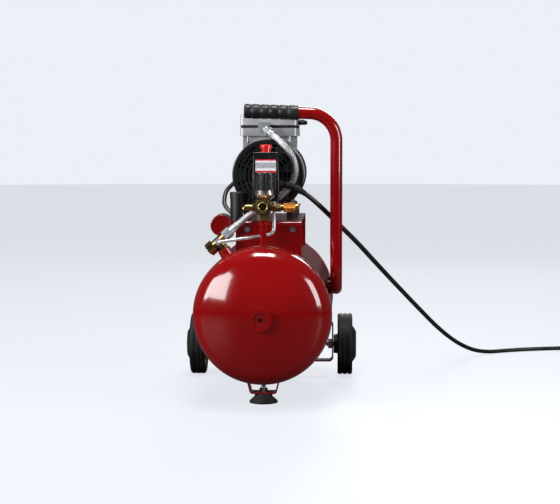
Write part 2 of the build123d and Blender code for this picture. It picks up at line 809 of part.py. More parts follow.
with BuildPart() as front_fan:
    with BuildSketch(Plane.XZ.offset(-fan_y - fan_t / 2)):
        with Locations((pump_x, shaft_z)):
            Circle(14)
    extrude(amount=fan_t)
    for blade in range(fan_blades):
        hub_place = Location((pump_x, fan_y, shaft_z), (0, blade * 360 / fan_blades, 0))
        with Locations(hub_place * Location(((fan_r + 12) / 2, 0, 0), (58, 0, 0))):
            Box(fan_r - 12, 2, fan_t)
    with BuildSketch(Plane.XZ.offset(-pump_y)):
        with Locations((pump_x, shaft_z)):
            Circle(shaft_d / 2)
    extrude(amount=200, mode=Mode.SUBTRACT)
front_fan.part.label = "front_fan"
export_step(front_fan.part, "parts/front_fan.step")

with BuildPart() as rear_fan:
    add(front_fan.part.mirror(pump_mid))
rear_fan.part.label = "rear_fan"
export_step(rear_fan.part, "parts/rear_fan.step")

# Fan covers: moulded cups with a grille of rings and spokes
cover_front = case_front - cover_len
slot = 4.6
grille_rings = (53.0, 45.0, 37.0, 29.0, 21.0)
with BuildPart() as front_fan_cover:
    with BuildSketch(Plane.XZ.offset(-case_front)):
        with Locations((pump_x, shaft_z)):
            Circle(cover_od / 2)
            Circle(cover_od / 2 - cover_wall, mode=Mode.SUBTRACT)
    extrude(amount=cover_len)
    with BuildSketch(Plane.XZ.offset(-cover_front - cover_wall)):
        with Locations((pump_x, shaft_z)):
            Circle(cover_od / 2)
            for ring in grille_rings:
                Circle(ring + slot, mode=Mode.SUBTRACT)
                Circle(ring)
            with PolarLocations(grille_rings[2], 8, start_angle=22.5):
                Rectangle(46, 3.6)
    extrude(amount=cover_wall)
    rim = front_fan_cover.edges().filter_by(GeomType.CIRCLE).group_by(Axis.Y)[0]
    fillet(rim.sort_by(SortBy.RADIUS)[-1], 2.4)
front_fan_cover.part.label = "front_fan_cover"
export_step(front_fan_cover.part, "parts/front_fan_cover.step")

with BuildPart() as rear_fan_cover:
    add(front_fan_cover.part.mirror(pump_mid))
rear_fan_cover.part.label = "rear_fan_cover"
export_step(rear_fan_cover.part, "parts/rear_fan_cover.step")

# Valve plates: cast plates with two ports each, on top of the cylinders
port_dx = 14.0
with BuildPart() as valve_plates:
    with BuildSketch(Plane.XY.offset(head_low)):
        with Locations(*cyl_places):
            RectangleRounded(head_w, head_len, 6)
            with Locations((-port_dx, 0), (port_dx, 0)):
                Circle(5, mode=Mode.SUBTRACT)
            with GridLocations(2 * bolt_dx, 2 * bolt_dy, 2, 2):
                Circle(m6_r, mode=Mode.SUBTRACT)
    extrude(amount=plate_top - head_low)
valve_plates.part.label = "valve_plates"
export_step(valve_plates.part, "parts/valve_plates.step")

# Gaskets: thick rubber frames that part the suction and the delivery side
chamber_w = 36.0
chamber_len = 44.0
chamber_dx = 21.0
with BuildPart() as head_gaskets:
    with BuildSketch(Plane.XY.offset(plate_top)):
        with Locations(*cyl_places):
            RectangleRounded(head_w - 1.5, head_len - 1.5, 5)
            with Locations((-chamber_dx, 0), (chamber_dx, 0)):
                Rectangle(chamber_w, chamber_len, mode=Mode.SUBTRACT)
            with GridLocations(2 * bolt_dx, 2 * bolt_dy, 2, 2):
                Circle(m6_r, mode=Mode.SUBTRACT)
    extrude(amount=gasket_top - plate_top)
head_gaskets.part.label = "head_gaskets"
export_step(head_gaskets.part, "parts/head_gaskets.step")

# Cylinder heads: finned castings with two chambers and counterbored bolt holes
counterbore_r = 6.0
counterbore_z = head_top - 11.0
with BuildPart() as front_cylinder_head:
    with BuildSketch(Plane.XY.offset(gasket_top)):
        with Locations((pump_x, cyl_y)):
            RectangleRounded(head_w, head_len, 6)
    extrude(amount=head_top - gasket_top)
    fillet(front_cylinder_head.faces().sort_by(Axis.Z)[-1].edges(), 3)
    with BuildSketch(Plane.XY.offset(gasket_top)):
        with Locations((pump_x, cyl_y)):
            with Locations((-chamber_dx, 0), (chamber_dx, 0)):
                Rectangle(chamber_w, chamber_len)
    extrude(amount=9, mode=Mode.SUBTRACT)
    with BuildSketch(Plane.XY.offset(head_top)):
        with Locations((pump_x, cyl_y)):
            with GridLocations(9, 1, 7, 1):
                Rectangle(4.5, head_len + 2)
    extrude(amount=-7, mode=Mode.SUBTRACT)
    with BuildSketch(Plane.XY.offset(head_top)):
        with Locations(*head_bolts_at):
            Circle(counterbore_r)
    extrude(amount=counterbore_z - head_top, mode=Mode.SUBTRACT)
    with BuildSketch(Plane.XY.offset(head_top)):
        with Locations(*head_bolts_at):
            Circle(m6_r)
    extrude(amount=gasket_top - head_top, mode=Mode.SUBTRACT)
front_cylinder_head.part.label = "front_cylinder_head"
export_step(front_cylinder_head.part, "parts/front_cylinder_head.step")

with BuildPart() as rear_cylinder_head:
    add(front_cylinder_head.part.mirror(pump_mid))
rear_cylinder_head.part.label = "rear_cylinder_head"
export_step(rear_cylinder_head.part, "parts/rear_cylinder_head.step")

# Head bolts: four socket screws in each head
all_head_bolts = head_bolts_at + [(x, 2 * pump_y - y) for x, y in head_bolts_at]
with BuildPart() as head_bolts:
    with BuildSketch(Plane.XY.offset(counterbore_z)):
        with Locations(*all_head_bolts):
            Circle(5)
    extrude(amount=6)
    with BuildSketch(Plane.XY.offset(counterbore_z)):
        with Locations(*all_head_bolts):
            Circle(m6_r)
    extrude(amount=-(counterbore_z - head_low + 12))
    with BuildSketch(Plane.XY.offset(counterbore_z + 6)):
        with Locations(*all_head_bolts):
            RegularPolygon(2.5, 6, major_radius=False)
    extrude(amount=-3.5, mode=Mode.SUBTRACT)
head_bolts.part.label = "head_bolts"
export_step(head_bolts.part, "parts/head_bolts.step")

# Crossover pipe: joins the two heads on the right-hand side
pipe_out = pump_x + head_w / 2 + 12
pipe_z = head_top - 14.0
pipe_d = 9.0
pipe_half = 62.0
with BuildPart() as crossover_pipe:
    with BuildLine():
        FilletPolyline(
            (pump_x + head_w / 2, pump_y - pipe_half, pipe_z),
            (pipe_out, pump_y - pipe_half, pipe_z),
            (pipe_out, pump_y + pipe_half, pipe_z),
            (pump_x + head_w / 2, pump_y + pipe_half, pipe_z),
            radius=9,
        )
    with BuildSketch(
        Plane(origin=(pump_x + head_w / 2, pump_y - pipe_half, pipe_z), z_dir=(1, 0, 0))
    ):
        Circle(pipe_d / 2)
    sweep()
crossover_pipe.part.label = "crossover_pipe"
export_step(crossover_pipe.part, "parts/crossover_pipe.step")


def bend_radii(points):
    """The largest arcs that the runs of a route allow, one for each of its corners."""
    radii = []
    for a, b, c in zip(points, points[1:], points[2:]):
        before = Vector(b) - Vector(a)
        after = Vector(c) - Vector(b)
        half_turn = math.radians(before.get_angle(after)) / 2
        radii.append(0.45 * min(before.length, after.length) / math.tan(half_turn))
    return radii


def tube_along(points, radius):
    """A round tube of straight runs joined by tangent arcs."""
    with BuildPart() as tube:
        with BuildLine():
            FilletPolyline(*points, radius=bend_radii(points))
        start = Vector(points[0])
        with BuildSketch(Plane(origin=start, z_dir=Vector(points[1]) - start)):
            Circle(radius)
        sweep()
    return tube.part


# Capacitor: a moulded can with an overhanging cap, standing on the saddle
capacitor_r = 15.2
capacitor_x = -46.0
capacitor_y = pump_y - 166.0
capacitor_h = 52.0
with BuildPart() as capacitor:
    with BuildSketch(Plane.XY.offset(saddle_top)):
        with Locations((capacitor_x, capacitor_y)):
            Circle(capacitor_r)
    extrude(amount=capacitor_h)
    with BuildSketch(Plane.XY.offset(saddle_top + capacitor_h - 12)):
        with Locations((capacitor_x, capacitor_y)):
            Circle(capacitor_r + 0.8)
    extrude(amount=12)
    fillet(capacitor.edges().filter_by(GeomType.CIRCLE).sort_by(Axis.Z)[-1], 2)
capacitor.part.label = "capacitor"
export_step(capacitor.part, "parts/capacitor.step")

# Motor cable: from the front crankcase down to a hole in the saddle's ledge
motor_cable_points = [
    (pump_x - case_r, pump_y - 68, shaft_z - 11.5),
    (-58, pump_y - 72, shaft_z - 13.5),
    (-75, saddle_front + 81, saddle_top + 51),
    (-76, saddle_front + 57, saddle_top + 26),
    (-58, saddle_front + 45, saddle_top + 10),
    (-57, saddle_front + 44, saddle_top),
]
motor_cable_solid = tube_along(motor_cable_points, 4.0)
with BuildPart() as motor_cable:
    add(motor_cable_solid)
motor_cable.part.label = "motor_cable"
export_step(motor_cable.part, "parts/motor_cable.step")

# Riser pipe: a red pipe from the tank up to the air manifold
riser_low = axis_z + tank_r - 10
with BuildPart() as riser_pipe:
    with BuildSketch(Plane.XY.offset(riser_low)):
        with Locations((air_x, air_y)):
            Circle(riser_d / 2)
            Circle(riser_d / 2 - 2, mode=Mode.SUBTRACT)
    extrude(amount=riser_top - riser_low)
riser_pipe.part.label = "riser_pipe"
export_step(riser_pipe.part, "parts/riser_pipe.step")

# Air manifold: a brass block with a hex base, a front port and a side neck
block_front = air_y - 21.0
block_back = air_y + 11.0
port_od = 24.0
port_bore = 14.0
port_deep = 20.0
neck_z = port_z - 2.3
neck_end = 24.0
nipple_y = switch_y - 11.0
with BuildPart() as air_manifold:
    with BuildSketch(Plane.XY.offset(riser_top)):
        with Locations((air_x, air_y)):
            RegularPolygon(8.5, 6, major_radius=False)
    extrude(amount=block_low - riser_top)
    with Locations((air_x, (block_front + block_back) / 2, (block_low + block_top) / 2)):
        Box(26, block_back - block_front, block_top - block_low)
    with Locations((air_x, (block_back + nipple_y + 5) / 2, block_low + 8)):
        Box(12, nipple_y + 5 - block_back, 16)
    with BuildSketch(Plane.XY.offset(block_low + 14)):
        with Locations((air_x, nipple_y)):
            Circle(5)
    extrude(amount=switch_low - block_low - 14)
    with BuildSketch(Plane.XZ.offset(-block_front)):
        with Locations((air_x, port_z)):
            Circle(port_od / 2)
    extrude(amount=8)
    with BuildSketch(Plane.XZ.offset(-block_front + 8)):
        with Locations((air_x, port_z)):
            Circle(port_bore / 2)
    extrude(amount=-port_deep, mode=Mode.SUBTRACT)
    with BuildSketch(Plane.XZ.offset(-block_front)):
        with Locations((air_x, port_z)):
            Circle(riser_d / 2 - 2)
    extrude(amount=block_front - air_y - 2, mode=Mode.SUBTRACT)
    with BuildSketch(Plane.YZ.offset(air_x)):
        with Locations((air_y, neck_z)):
            Circle(6.5)
    extrude(amount=neck_end - air_x)
    with BuildSketch(Plane.YZ.offset(air_x)):
        with Locations((air_y, neck_z)):
            Circle(3.5)
    extrude(amount=neck_end, mode=Mode.SUBTRACT)
    with BuildSketch(Plane.XY.offset(riser_top)):
        with Locations((air_x, air_y)):
            Circle(riser_d / 2 - 2)
    extrude(amount=port_z - riser_top, mode=Mode.SUBTRACT)
air_manifold.part.label = "air_manifold"
export_step(air_manifold.part, "parts/air_manifold.step")

# Quick coupler: a hex body with a barrel, and a knurled sleeve that slides back on it
barrel_r = 5.5
socket_r = 4.2
socket_len = 28.0
sleeve_r = 8.6
sleeve_start = neck_end + 14.5
sleeve_len = 21.0
coupler_end = sleeve_start + sleeve_len + 4.5
with BuildPart() as coupler_body:
    with BuildSketch(Plane.YZ.offset(neck_end)):
        with Locations((air_y, neck_z)):
            RegularPolygon(7.5, 6, major_radius=False)
    extrude(amount=10)
    with BuildSketch(Plane.YZ.offset(neck_end)):
        with Locations((air_y, neck_z)):
            Circle(barrel_r)
    extrude(amount=coupler_end - neck_end)
    with BuildSketch(Plane.YZ.offset(coupler_end - 3.5)):
        with Locations((air_y, neck_z)):
            Circle(7)
    extrude(amount=3.5)
    with BuildSketch(Plane.YZ.offset(neck_end)):
        with Locations((air_y, neck_z)):
            Circle(3)
    extrude(amount=coupler_end - neck_end, mode=Mode.SUBTRACT)
    with BuildSketch(Plane.YZ.offset(coupler_end)):
        with Locations((air_y, neck_z)):
            Circle(socket_r)
    extrude(amount=-socket_len, mode=Mode.SUBTRACT)
coupler_body.part.label = "coupler_body"
export_step(coupler_body.part, "parts/coupler_body.step")

with BuildPart() as coupler_sleeve:
    with BuildSketch(Plane.YZ.offset(sleeve_start)):
        with Locations((air_y, neck_z)):
            Circle(sleeve_r)
            with PolarLocations(sleeve_r + 0.3, 24):
                Circle(0.6, mode=Mode.SUBTRACT)
            Circle(barrel_r + running_gap, mode=Mode.SUBTRACT)
    extrude(amount=sleeve_len)
coupler_sleeve.part.label = "coupler_sleeve"
export_step(coupler_sleeve.part, "parts/coupler_sleeve.step")

# Safety valve: a brass relief valve with a pull ring, on the left of the manifold
safety_x = air_x - 13
with BuildPart() as safety_valve:
    with BuildSketch(Plane.YZ.offset(safety_x)):
        with Locations((air_y, neck_z)):
            RegularPolygon(7, 6, major_radius=False)
    extrude(amount=-7)
    with BuildSketch(Plane.YZ.offset(safety_x - 7)):
        with Locations((air_y, neck_z)):
            Circle(5.5)
    extrude(amount=-13)
    with BuildSketch(Plane.YZ.offset(safety_x - 20)):
        with Locations((air_y, neck_z)):
            Circle(1.5)
    extrude(amount=-4)
    with BuildSketch(Plane.YZ.offset(safety_x - 22.5)):
        with Locations((air_y, neck_z - 7)):
            Circle(8)
            Circle(6.2, mode=Mode.SUBTRACT)
    extrude(amount=-1.6)
safety_valve.part.label = "safety_valve"
export_step(safety_valve.part, "parts/safety_valve.step")

# Regulator: a die-cast bell with a castellated rim, and a fluted knob on a stem
reg_r = 18.5
reg_top = block_top + 17.0
stem_r = 6.0
with BuildPart() as regulator_body:
    with BuildSketch(Plane.XZ.offset(-reg_y)):
        with BuildLine():
            Polyline(
                (reg_x, block_top),
                (reg_x + 10, block_top),
                (reg_x + 15, block_top + 4),
                (reg_x + reg_r, block_top + 9),
                (reg_x + reg_r, reg_top),
                (reg_x, reg_top),
                close=True,
            )
        make_face()
    revolve(axis=Axis((reg_x, reg_y, 0), (0, 0, 1)))
    with BuildSketch(Plane.XY.offset(reg_top)):
        with Locations((reg_x, reg_y)):
            with PolarLocations(reg_r, 14):
                Rectangle(4, 3)
    extrude(amount=-5, mode=Mode.SUBTRACT)
    with BuildSketch(Plane.XY.offset(reg_top)):
        with Locations((reg_x, reg_y)):
            Circle(stem_r + running_gap)
    extrude(amount=-10, mode=Mode.SUBTRACT)
regulator_body.part.label = "regulator_body"
export_step(regulator_body.part, "parts/regulator_body.step")

knob_low = reg_top + side_gap
knob_h = 31.5
flutes = 18
with BuildPart() as regulator_knob:
    with BuildSketch(Plane.XY.offset(knob_low)):
        with Locations((reg_x, reg_y)):
            Circle(knob_d / 2)
            with PolarLocations(knob_d / 2 + 0.6, flutes):
                Circle(1.7, mode=Mode.SUBTRACT)
    extrude(amount=knob_h - 3)
    with BuildSketch(Plane.XY.offset(knob_low + knob_h - 3)):
        with Locations((reg_x, reg_y)):
            Circle(knob_d / 2 - 1)
    extrude(amount=3)
    fillet(regulator_knob.edges().filter_by(GeomType.CIRCLE).sort_by(Axis.Z)[-1], 2)
    with BuildSketch(Plane.XY.offset(knob_low)):
        with Locations((reg_x, reg_y)):
            Circle(stem_r)
    extrude(amount=-9)
regulator_knob.part.label = "regulator_knob"
export_step(regulator_knob.part, "parts/regulator_knob.step")

# Pressure switch: a moulded base, a tapered cover and a pull-push button
switch_wall = 3.0
with BuildPart() as pressure_switch_base:
    with BuildSketch(Plane.XY.offset(switch_low)):
        with Locations((reg_x, switch_y)):
            RectangleRounded(switch_w, switch_deep, 3)
    extrude(amount=switch_split - switch_low)
    with BuildSketch(Plane.XY.offset(switch_split)):
        with Locations((reg_x, switch_y)):
            Rectangle(switch_w - 2 * switch_wall, switch_deep - 2 * switch_wall)
    extrude(amount=-(switch_split - switch_low - 6), mode=Mode.SUBTRACT)
pressure_switch_base.part.label = "pressure_switch_base"
export_step(pressure_switch_base.part, "parts/pressure_switch_base.step")

switch_taper = 3.5
with BuildPart() as pressure_switch_cover:
    with BuildSketch(Plane.XY.offset(switch_split)):
        with Locations((reg_x, switch_y)):
            RectangleRounded(switch_w, switch_deep, 3)
    extrude(amount=switch_top - switch_split, taper=switch_taper)
    fillet(pressure_switch_cover.faces().sort_by(Axis.Z)[-1].edges(), 2)
    with BuildSketch(Plane.XY.offset(switch_split)):
        with Locations((reg_x, switch_y)):
            Rectangle(switch_w - 2 * switch_wall, switch_deep - 2 * switch_wall)
    extrude(
        amount=switch_top - switch_split - switch_wall, taper=switch_taper, mode=Mode.SUBTRACT
    )
    with BuildSketch(Plane.XY.offset(switch_top + 1)):
        with Locations((reg_x, switch_y)):
            Circle(button_d / 2 + 0.1)
    extrude(amount=-(switch_wall + 3), mode=Mode.SUBTRACT)
pressure_switch_cover.part.label = "pressure_switch_cover"
export_step(pressure_switch_cover.part, "parts/pressure_switch_cover.step")

with BuildPart() as switch_button:
    with BuildSketch(Plane.XY.offset(switch_top - 16)):
        with Locations((reg_x, switch_y)):
            Circle(button_d / 2)
    extrude(amount=16 + button_travel + 1.5)
    with BuildSketch(Plane.XY.offset(switch_top + button_travel + 1.5)):
        with Locations((reg_x, switch_y)):
            Circle(11)
    extrude(amount=7)
    fillet(switch_button.edges().filter_by(GeomType.CIRCLE).sort_by(Axis.Z)[-1], 2.5)
switch_button.part.label = "switch_button"
export_step(switch_button.part, "parts/switch_button.step")

# Check valve: a brass angle valve on the shoulder bung, with a hex end cap
main_dir = Vector(math.cos(math.radians(hose_angle)), 0, math.sin(math.radians(hose_angle)))
valve_mid = valve_foot + valve_dir * valve_r
front_dir = Vector(0, -1, 0)
boss_len = 9.5
with BuildPart() as check_valve:
    with BuildSketch(Plane(origin=valve_foot + valve_dir * (valve_bung_top - 15), z_dir=valve_dir)):
        Circle(valve_thread_d / 2)
    extrude(amount=15 + valve_r - valve_bung_top)
    with BuildSketch(Plane(origin=valve_foot + valve_dir * valve_bung_top, z_dir=valve_dir)):
        RegularPolygon(8.5, 6, major_radius=False)
    extrude(amount=6.5)
    with BuildSketch(Plane(origin=valve_mid - main_dir * 12, z_dir=main_dir)):
        Circle(9)
    extrude(amount=25)
    with BuildSketch(Plane(origin=valve_mid, z_dir=front_dir)):
        Circle(5.5)
    extrude(amount=boss_len)
    with BuildSketch(Plane(origin=valve_mid - main_dir * 12.02, z_dir=main_dir * -1)):
        RegularPolygon(11, 6, major_radius=False)
    extrude(amount=13)
    with BuildSketch(Plane(origin=valve_mid - main_dir * 25.02, z_dir=main_dir * -1)):
        Circle(8)
    extrude(amount=1.5)
check_valve.part.label = "check_valve"
export_step(check_valve.part, "parts/check_valve.step")

# Discharge fittings: the elbow on the front head, and a nut and a ferrule at each hose end
elbow = Vector(-2, cyl_y - head_len / 2, 503)
elbow_deep = 22.0
elbow_out = elbow + Vector(0, -elbow_deep * 0.6, 0)
hose_first = Vector(36, switch_y + 22, switch_low + 104)
out_dir = (hose_first - elbow_out).normalized()
hose_start = elbow_out + out_dir * 30
hose_end = valve_mid + main_dir * 41
with BuildPart() as discharge_fittings:
    with Locations(elbow + Vector(0, -elbow_deep / 2, 2)):
        Box(20, elbow_deep, 18)
    fillet(discharge_fittings.edges().filter_by(Axis.Y), 4)
    with BuildSketch(Plane(origin=elbow_out, z_dir=out_dir)):
        Circle(7)
    extrude(amount=30)
    with BuildSketch(Plane(origin=elbow_out + out_dir * 11, z_dir=out_dir)):
        RegularPolygon(8, 6, major_radius=False)
    extrude(amount=7)
    with BuildSketch(Plane(origin=valve_mid + main_dir * 13, z_dir=main_dir)):
        RegularPolygon(8.5, 6, major_radius=False)
    extrude(amount=15)
    with BuildSketch(Plane(origin=valve_mid + main_dir * 28, z_dir=main_dir)):
        Circle(7)
    extrude(amount=13)
discharge_fittings.part.label = "discharge_fittings"
export_step(discharge_fittings.part, "parts/discharge_fittings.step")

# Discharge hose: steel-braided, from the head round the front of the fan to the check valve
hose_points = [
    hose_start,
    hose_first,
    (60, switch_y + 23, switch_low + 70),
    (55, switch_y + 27, switch_low + 35),
    (26, switch_y + 32, switch_low + 5),
    (0, switch_y + 14, switch_low - 13),
    valve_mid + main_dir * 75,
    hose_end,
]
discharge_hose_solid = tube_along(hose_points, hose_d / 2)
with BuildPart() as discharge_hose:
    add(discharge_hose_solid)
discharge_hose.part.label = "discharge_hose"
export_step(discharge_hose.part, "parts/discharge_hose.step")

# Unloader tube: bright metal pipe from the check valve to the pressure switch, with its nut
nut_y = valve_y - boss_len
unloader_x = 20.0
unloader_points = [
    (valve_mid.X, nut_y - 5, valve_mid.Z),
    (valve_mid.X, nut_y - 16, valve_mid.Z),
    (-40, valve_y - 20, tank_top + 13),
    (2, valve_y - 6, tank_top + 18),
    (unloader_x, switch_y - 15, tank_top + 22),
    (unloader_x, switch_y - 13, tank_top + 50),
    (unloader_x, switch_y - 12.5, switch_low),
]
unloader_solid = tube_along(unloader_points, tube_d / 2)
with BuildPart() as unloader_tube:
    add(unloader_solid)
    with BuildSketch(Plane(origin=(valve_mid.X, nut_y, valve_mid.Z), z_dir=front_dir)):
        RegularPolygon(5.5, 6, major_radius=False)
    extrude(amount=7)
unloader_tube.part.label = "unloader_tube"
export_step(unloader_tube.part, "parts/unloader_tube.step")

# Lead gland: a hex nut and a domed cap where the mains lead leaves the pressure switch
gland_x = reg_x + switch_w / 2
gland_len = 12.5
with BuildPart() as lead_gland:
    with BuildSketch(Plane.YZ.offset(gland_x)):
        with Locations((switch_y, gland_z)):
            RegularPolygon(8, 6, major_radius=False)
    extrude(amount=5)
    with BuildSketch(Plane.YZ.offset(gland_x + 5)):
        with Locations((switch_y, gland_z)):
            Circle(7)
    extrude(amount=gland_len - 5, taper=12)
lead_gland.part.label = "lead_gland"
export_step(lead_gland.part, "parts/lead_gland.step")

# Mains lead: out of the gland, behind the handle, down in a long sag and along the floor
lead_low = lead_d / 2
lead_points = [
    (gland_x + gland_len, switch_y, gland_z),
    (80, switch_y - 2, gland_z - 17),
    (110, switch_y + 15, gland_z - 45),
    (139, switch_y + 37, gland_z - 75),
    (172, -84, 290),
    (212, -10, 242),
    (256, 84, 190),
    (304, 190, 134),
    (352, 300, 79),
    (404, 402, 32),
    (458, 476, lead_low),
    (532, 522, lead_low),
    (608, 548, lead_low),
    (671, 563, lead_low),
]
lead_radii = bend_radii(lead_points)
print("lead radii", [round(r) for r in lead_radii])
mains_lead_solid = tube_along(lead_points, lead_d / 2)
with BuildPart() as mains_lead:
    add(mains_lead_solid)
mains_lead.part.label = "mains_lead"
export_step(mains_lead.part, "parts/mains_lead.step")

# Lead coil: the rest of the lead, wound into a flat ring two turns high
coil_x = 704.0
coil_y = 517.0
coil_r = 50.0
coil_w = 20.0
coil_h = 2 * lead_d
with BuildPart() as lead_coil:
    with BuildSketch(Plane.XY):
        with Locations((coil_x, coil_y)):
            Circle(coil_r + coil_w / 2)
            Circle(coil_r - coil_w / 2, mode=Mode.SUBTRACT)
    extrude(amount=coil_h)
    fillet(lead_coil.edges().group_by(Axis.Z)[-1], 3)
lead_coil.part.label = "lead_coil"
export_step(lead_coil.part, "parts/lead_coil.step")

# Plug: a moulded two-pin plug lying on the coil
plug_y = coil_y - coil_r
plug_x = coil_x + 2
plug_r = 18.0
plug_z = coil_h + plug_r
with BuildPart() as plug:
    with BuildSketch(Plane.XZ.offset(-plug_y)):
        with BuildLine():
            Polyline(
                (plug_x, plug_z),
                (plug_x, plug_z + 6.5),
                (plug_x - 14, plug_z + 13),
                (plug_x - 34, plug_z + 15),
                (plug_x - 36, plug_z + plug_r),
                (plug_x - 45, plug_z + plug_r),
                (plug_x - 45, plug_z),
                close=True,
            )
        make_face()
    revolve(axis=Axis((0, plug_y, plug_z), (1, 0, 0)))
    with BuildSketch(Plane.YZ.offset(plug_x - 45)):
        with Locations((plug_y - 9.5, plug_z), (plug_y + 9.5, plug_z)):
            Circle(2.4)
    extrude(amount=-19)
plug.part.label = "plug"
export_step(plug.part, "parts/plug.step")
lead_run = mains_lead.part.volume / (math.pi * lead_d**2 / 4)
print("lead length outside the coil", round(lead_run))
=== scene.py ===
import math

import bpy
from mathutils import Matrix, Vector


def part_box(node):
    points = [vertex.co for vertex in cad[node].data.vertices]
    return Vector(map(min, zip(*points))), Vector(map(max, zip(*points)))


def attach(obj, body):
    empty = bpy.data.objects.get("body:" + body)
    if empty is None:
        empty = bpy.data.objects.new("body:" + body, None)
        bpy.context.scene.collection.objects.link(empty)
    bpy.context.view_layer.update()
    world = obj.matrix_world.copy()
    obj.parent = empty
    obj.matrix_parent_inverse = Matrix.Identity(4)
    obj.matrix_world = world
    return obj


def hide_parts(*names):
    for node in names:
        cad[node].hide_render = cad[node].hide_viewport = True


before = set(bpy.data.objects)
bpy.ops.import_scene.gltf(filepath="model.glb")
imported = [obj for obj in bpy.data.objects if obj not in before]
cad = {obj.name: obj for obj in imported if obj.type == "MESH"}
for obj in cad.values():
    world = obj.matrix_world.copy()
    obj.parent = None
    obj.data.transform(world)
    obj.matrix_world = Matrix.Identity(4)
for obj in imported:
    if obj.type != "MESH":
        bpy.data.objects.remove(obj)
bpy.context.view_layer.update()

# Camera: a long lens in front of the tank's bunged end, a little to the right of it
# and at the height of the pump, looking slightly down.
camera_lens = bpy.data.cameras.new("studio_camera")
camera_lens.lens = 95.8
camera_lens.sensor_width = 36.0
camera_stand = bpy.data.objects.new("studio_camera", camera_lens)
bpy.context.scene.collection.objects.link(camera_stand)
camera_stand.location = (0.137, -2.8665, 0.478)
camera_stand.rotation_euler = (math.radians(90 - 4.24), 0, math.radians(2.256))
bpy.context.scene.camera = camera_stand
bpy.context.scene.view_settings.view_transform = "Standard"

# Studio: a plain pale floor that runs out into an equally pale room, lit by a large soft
# box on the left, a tall strip on the right and small boxes overhead and behind.
studio_white = (0.835, 0.865, 0.925, 1)
floor_radius = 14.0
floor_seen_strength = 0.80
room_diffuse_strength = 0.34
room_glossy_strength = 0.08
bpy.ops.object.select_all(action="DESELECT")
bpy.ops.mesh.primitive_circle_add(vertices=96, radius=floor_radius, fill_type="NGON")
floor = bpy.context.object
floor.name = "studio_floor"
floor_paint = bpy.data.materials.new("studio_floor")
floor_paint.use_nodes = True
floor_shader = floor_paint.node_tree.nodes["Principled BSDF"]
floor_shader.inputs["Roughness"].default_value = 0.42
floor_shader.inputs["Specular IOR Level"].default_value = 0.08
floor_glow = floor_paint.node_tree.nodes.new("ShaderNodeEmission")
floor_glow.inputs["Color"].default_value = studio_white
floor_seen = floor_paint.node_tree.nodes.new("ShaderNodeLightPath")
floor_sum = floor_paint.node_tree.nodes.new("ShaderNodeAddShader")
floor_link = floor_paint.node_tree.links.new
floor_tone = floor_paint.node_tree.nodes.new("ShaderNodeMix")
floor_tone.data_type = "RGBA"
floor_tone.inputs[6].default_value = (0.13, 0.134, 0.142, 1)
floor_tone.inputs[7].default_value = (0.05, 0.05, 0.055, 1)
floor_link(floor_seen.outputs["Is Glossy Ray"], floor_tone.inputs["Factor"])
floor_link(floor_tone.outputs[2], floor_shader.inputs["Base Color"])
floor_share = floor_paint.node_tree.nodes.new("ShaderNodeMath")
floor_share.operation = "MULTIPLY"
floor_share.inputs[1].default_value = floor_seen_strength
floor_link(floor_seen.outputs["Is Camera Ray"], floor_share.inputs[0])
floor_link(floor_share.outputs["Value"], floor_glow.inputs["Strength"])
floor_link(floor_shader.outputs["BSDF"], floor_sum.inputs[0])
floor_link(floor_glow.outputs["Emission"], floor_sum.inputs[1])
floor_link(floor_sum.outputs["Shader"], floor_paint.node_tree.nodes["Material Output"].inputs["Surface"])
floor.data.materials.append(floor_paint)

room = bpy.data.worlds.new("studio_room")
bpy.context.scene.world = room
room.use_nodes = True
room_nodes = room.node_tree.nodes
room_light = room_nodes["Background"]
room_light.inputs["Color"].default_value = (0.90, 0.94, 1.0, 1)
room_dim = room_nodes.new("ShaderNodeMapRange")
room_dim.inputs["To Min"].default_value = room_diffuse_strength
room_dim.inputs["To Max"].default_value = room_glossy_strength
room_seen = room_nodes.new("ShaderNodeBackground")
room_seen.inputs["Color"].default_value = studio_white
room_seen.inputs["Strength"].default_value = 1.0
room_path = room_nodes.new("ShaderNodeLightPath")
room_mix = room_nodes.new("ShaderNodeMixShader")
room_link = room.node_tree.links.new
room_link(room_path.outputs["Is Glossy Ray"], room_dim.inputs["Value"])
room_link(room_dim.outputs["Result"], room_light.inputs["Strength"])
room_link(room_path.outputs["Is Camera Ray"], room_mix.inputs["Fac"])
room_link(room_light.outputs["Background"], room_mix.inputs[1])
room_link(room_seen.outputs["Background"], room_mix.inputs[2])
room_link(room_mix.outputs["Shader"], room_nodes["World Output"].inputs["Surface"])

lamp_target = Vector((0, 0, 0.30))
for lamp_name, place, wide, tall, watts in (
    ("left_soft_box", (-2.05, -1.5, 1.2), 1.8, 1.15, 86),
    ("right_strip", (1.95, -1.15, 0.95), 0.75, 1.2, 32),
    ("top_box", (0.0, -0.3, 2.4), 0.8, 0.7, 40),
    ("rear_box", (0.6, 2.6, 1.7), 1.4, 1.0, 30),
):
    lamp = bpy.data.lights.new(lamp_name, "AREA")
    lamp.shape = "RECTANGLE"
    lamp.size = wide
    lamp.size_y = tall
    lamp.energy = watts
    lamp_stand = bpy.data.objects.new(lamp_name, lamp)
    bpy.context.scene.collection.objects.link(lamp_stand)
    lamp_stand.location = place
    aim = lamp_target - Vector(place)
    lamp_stand.rotation_euler = aim.to_track_quat("-Z", "Y").to_euler()
    lamp_stand.visible_camera = False


# Finishes: every surface varies in colour and gloss in patches, with a fine grain, worn
# edges where it has them, and dust on what faces up.
dust_colour = (0.42, 0.40, 0.38)
coat_roughness = 0.04
bump_strength = 0.6


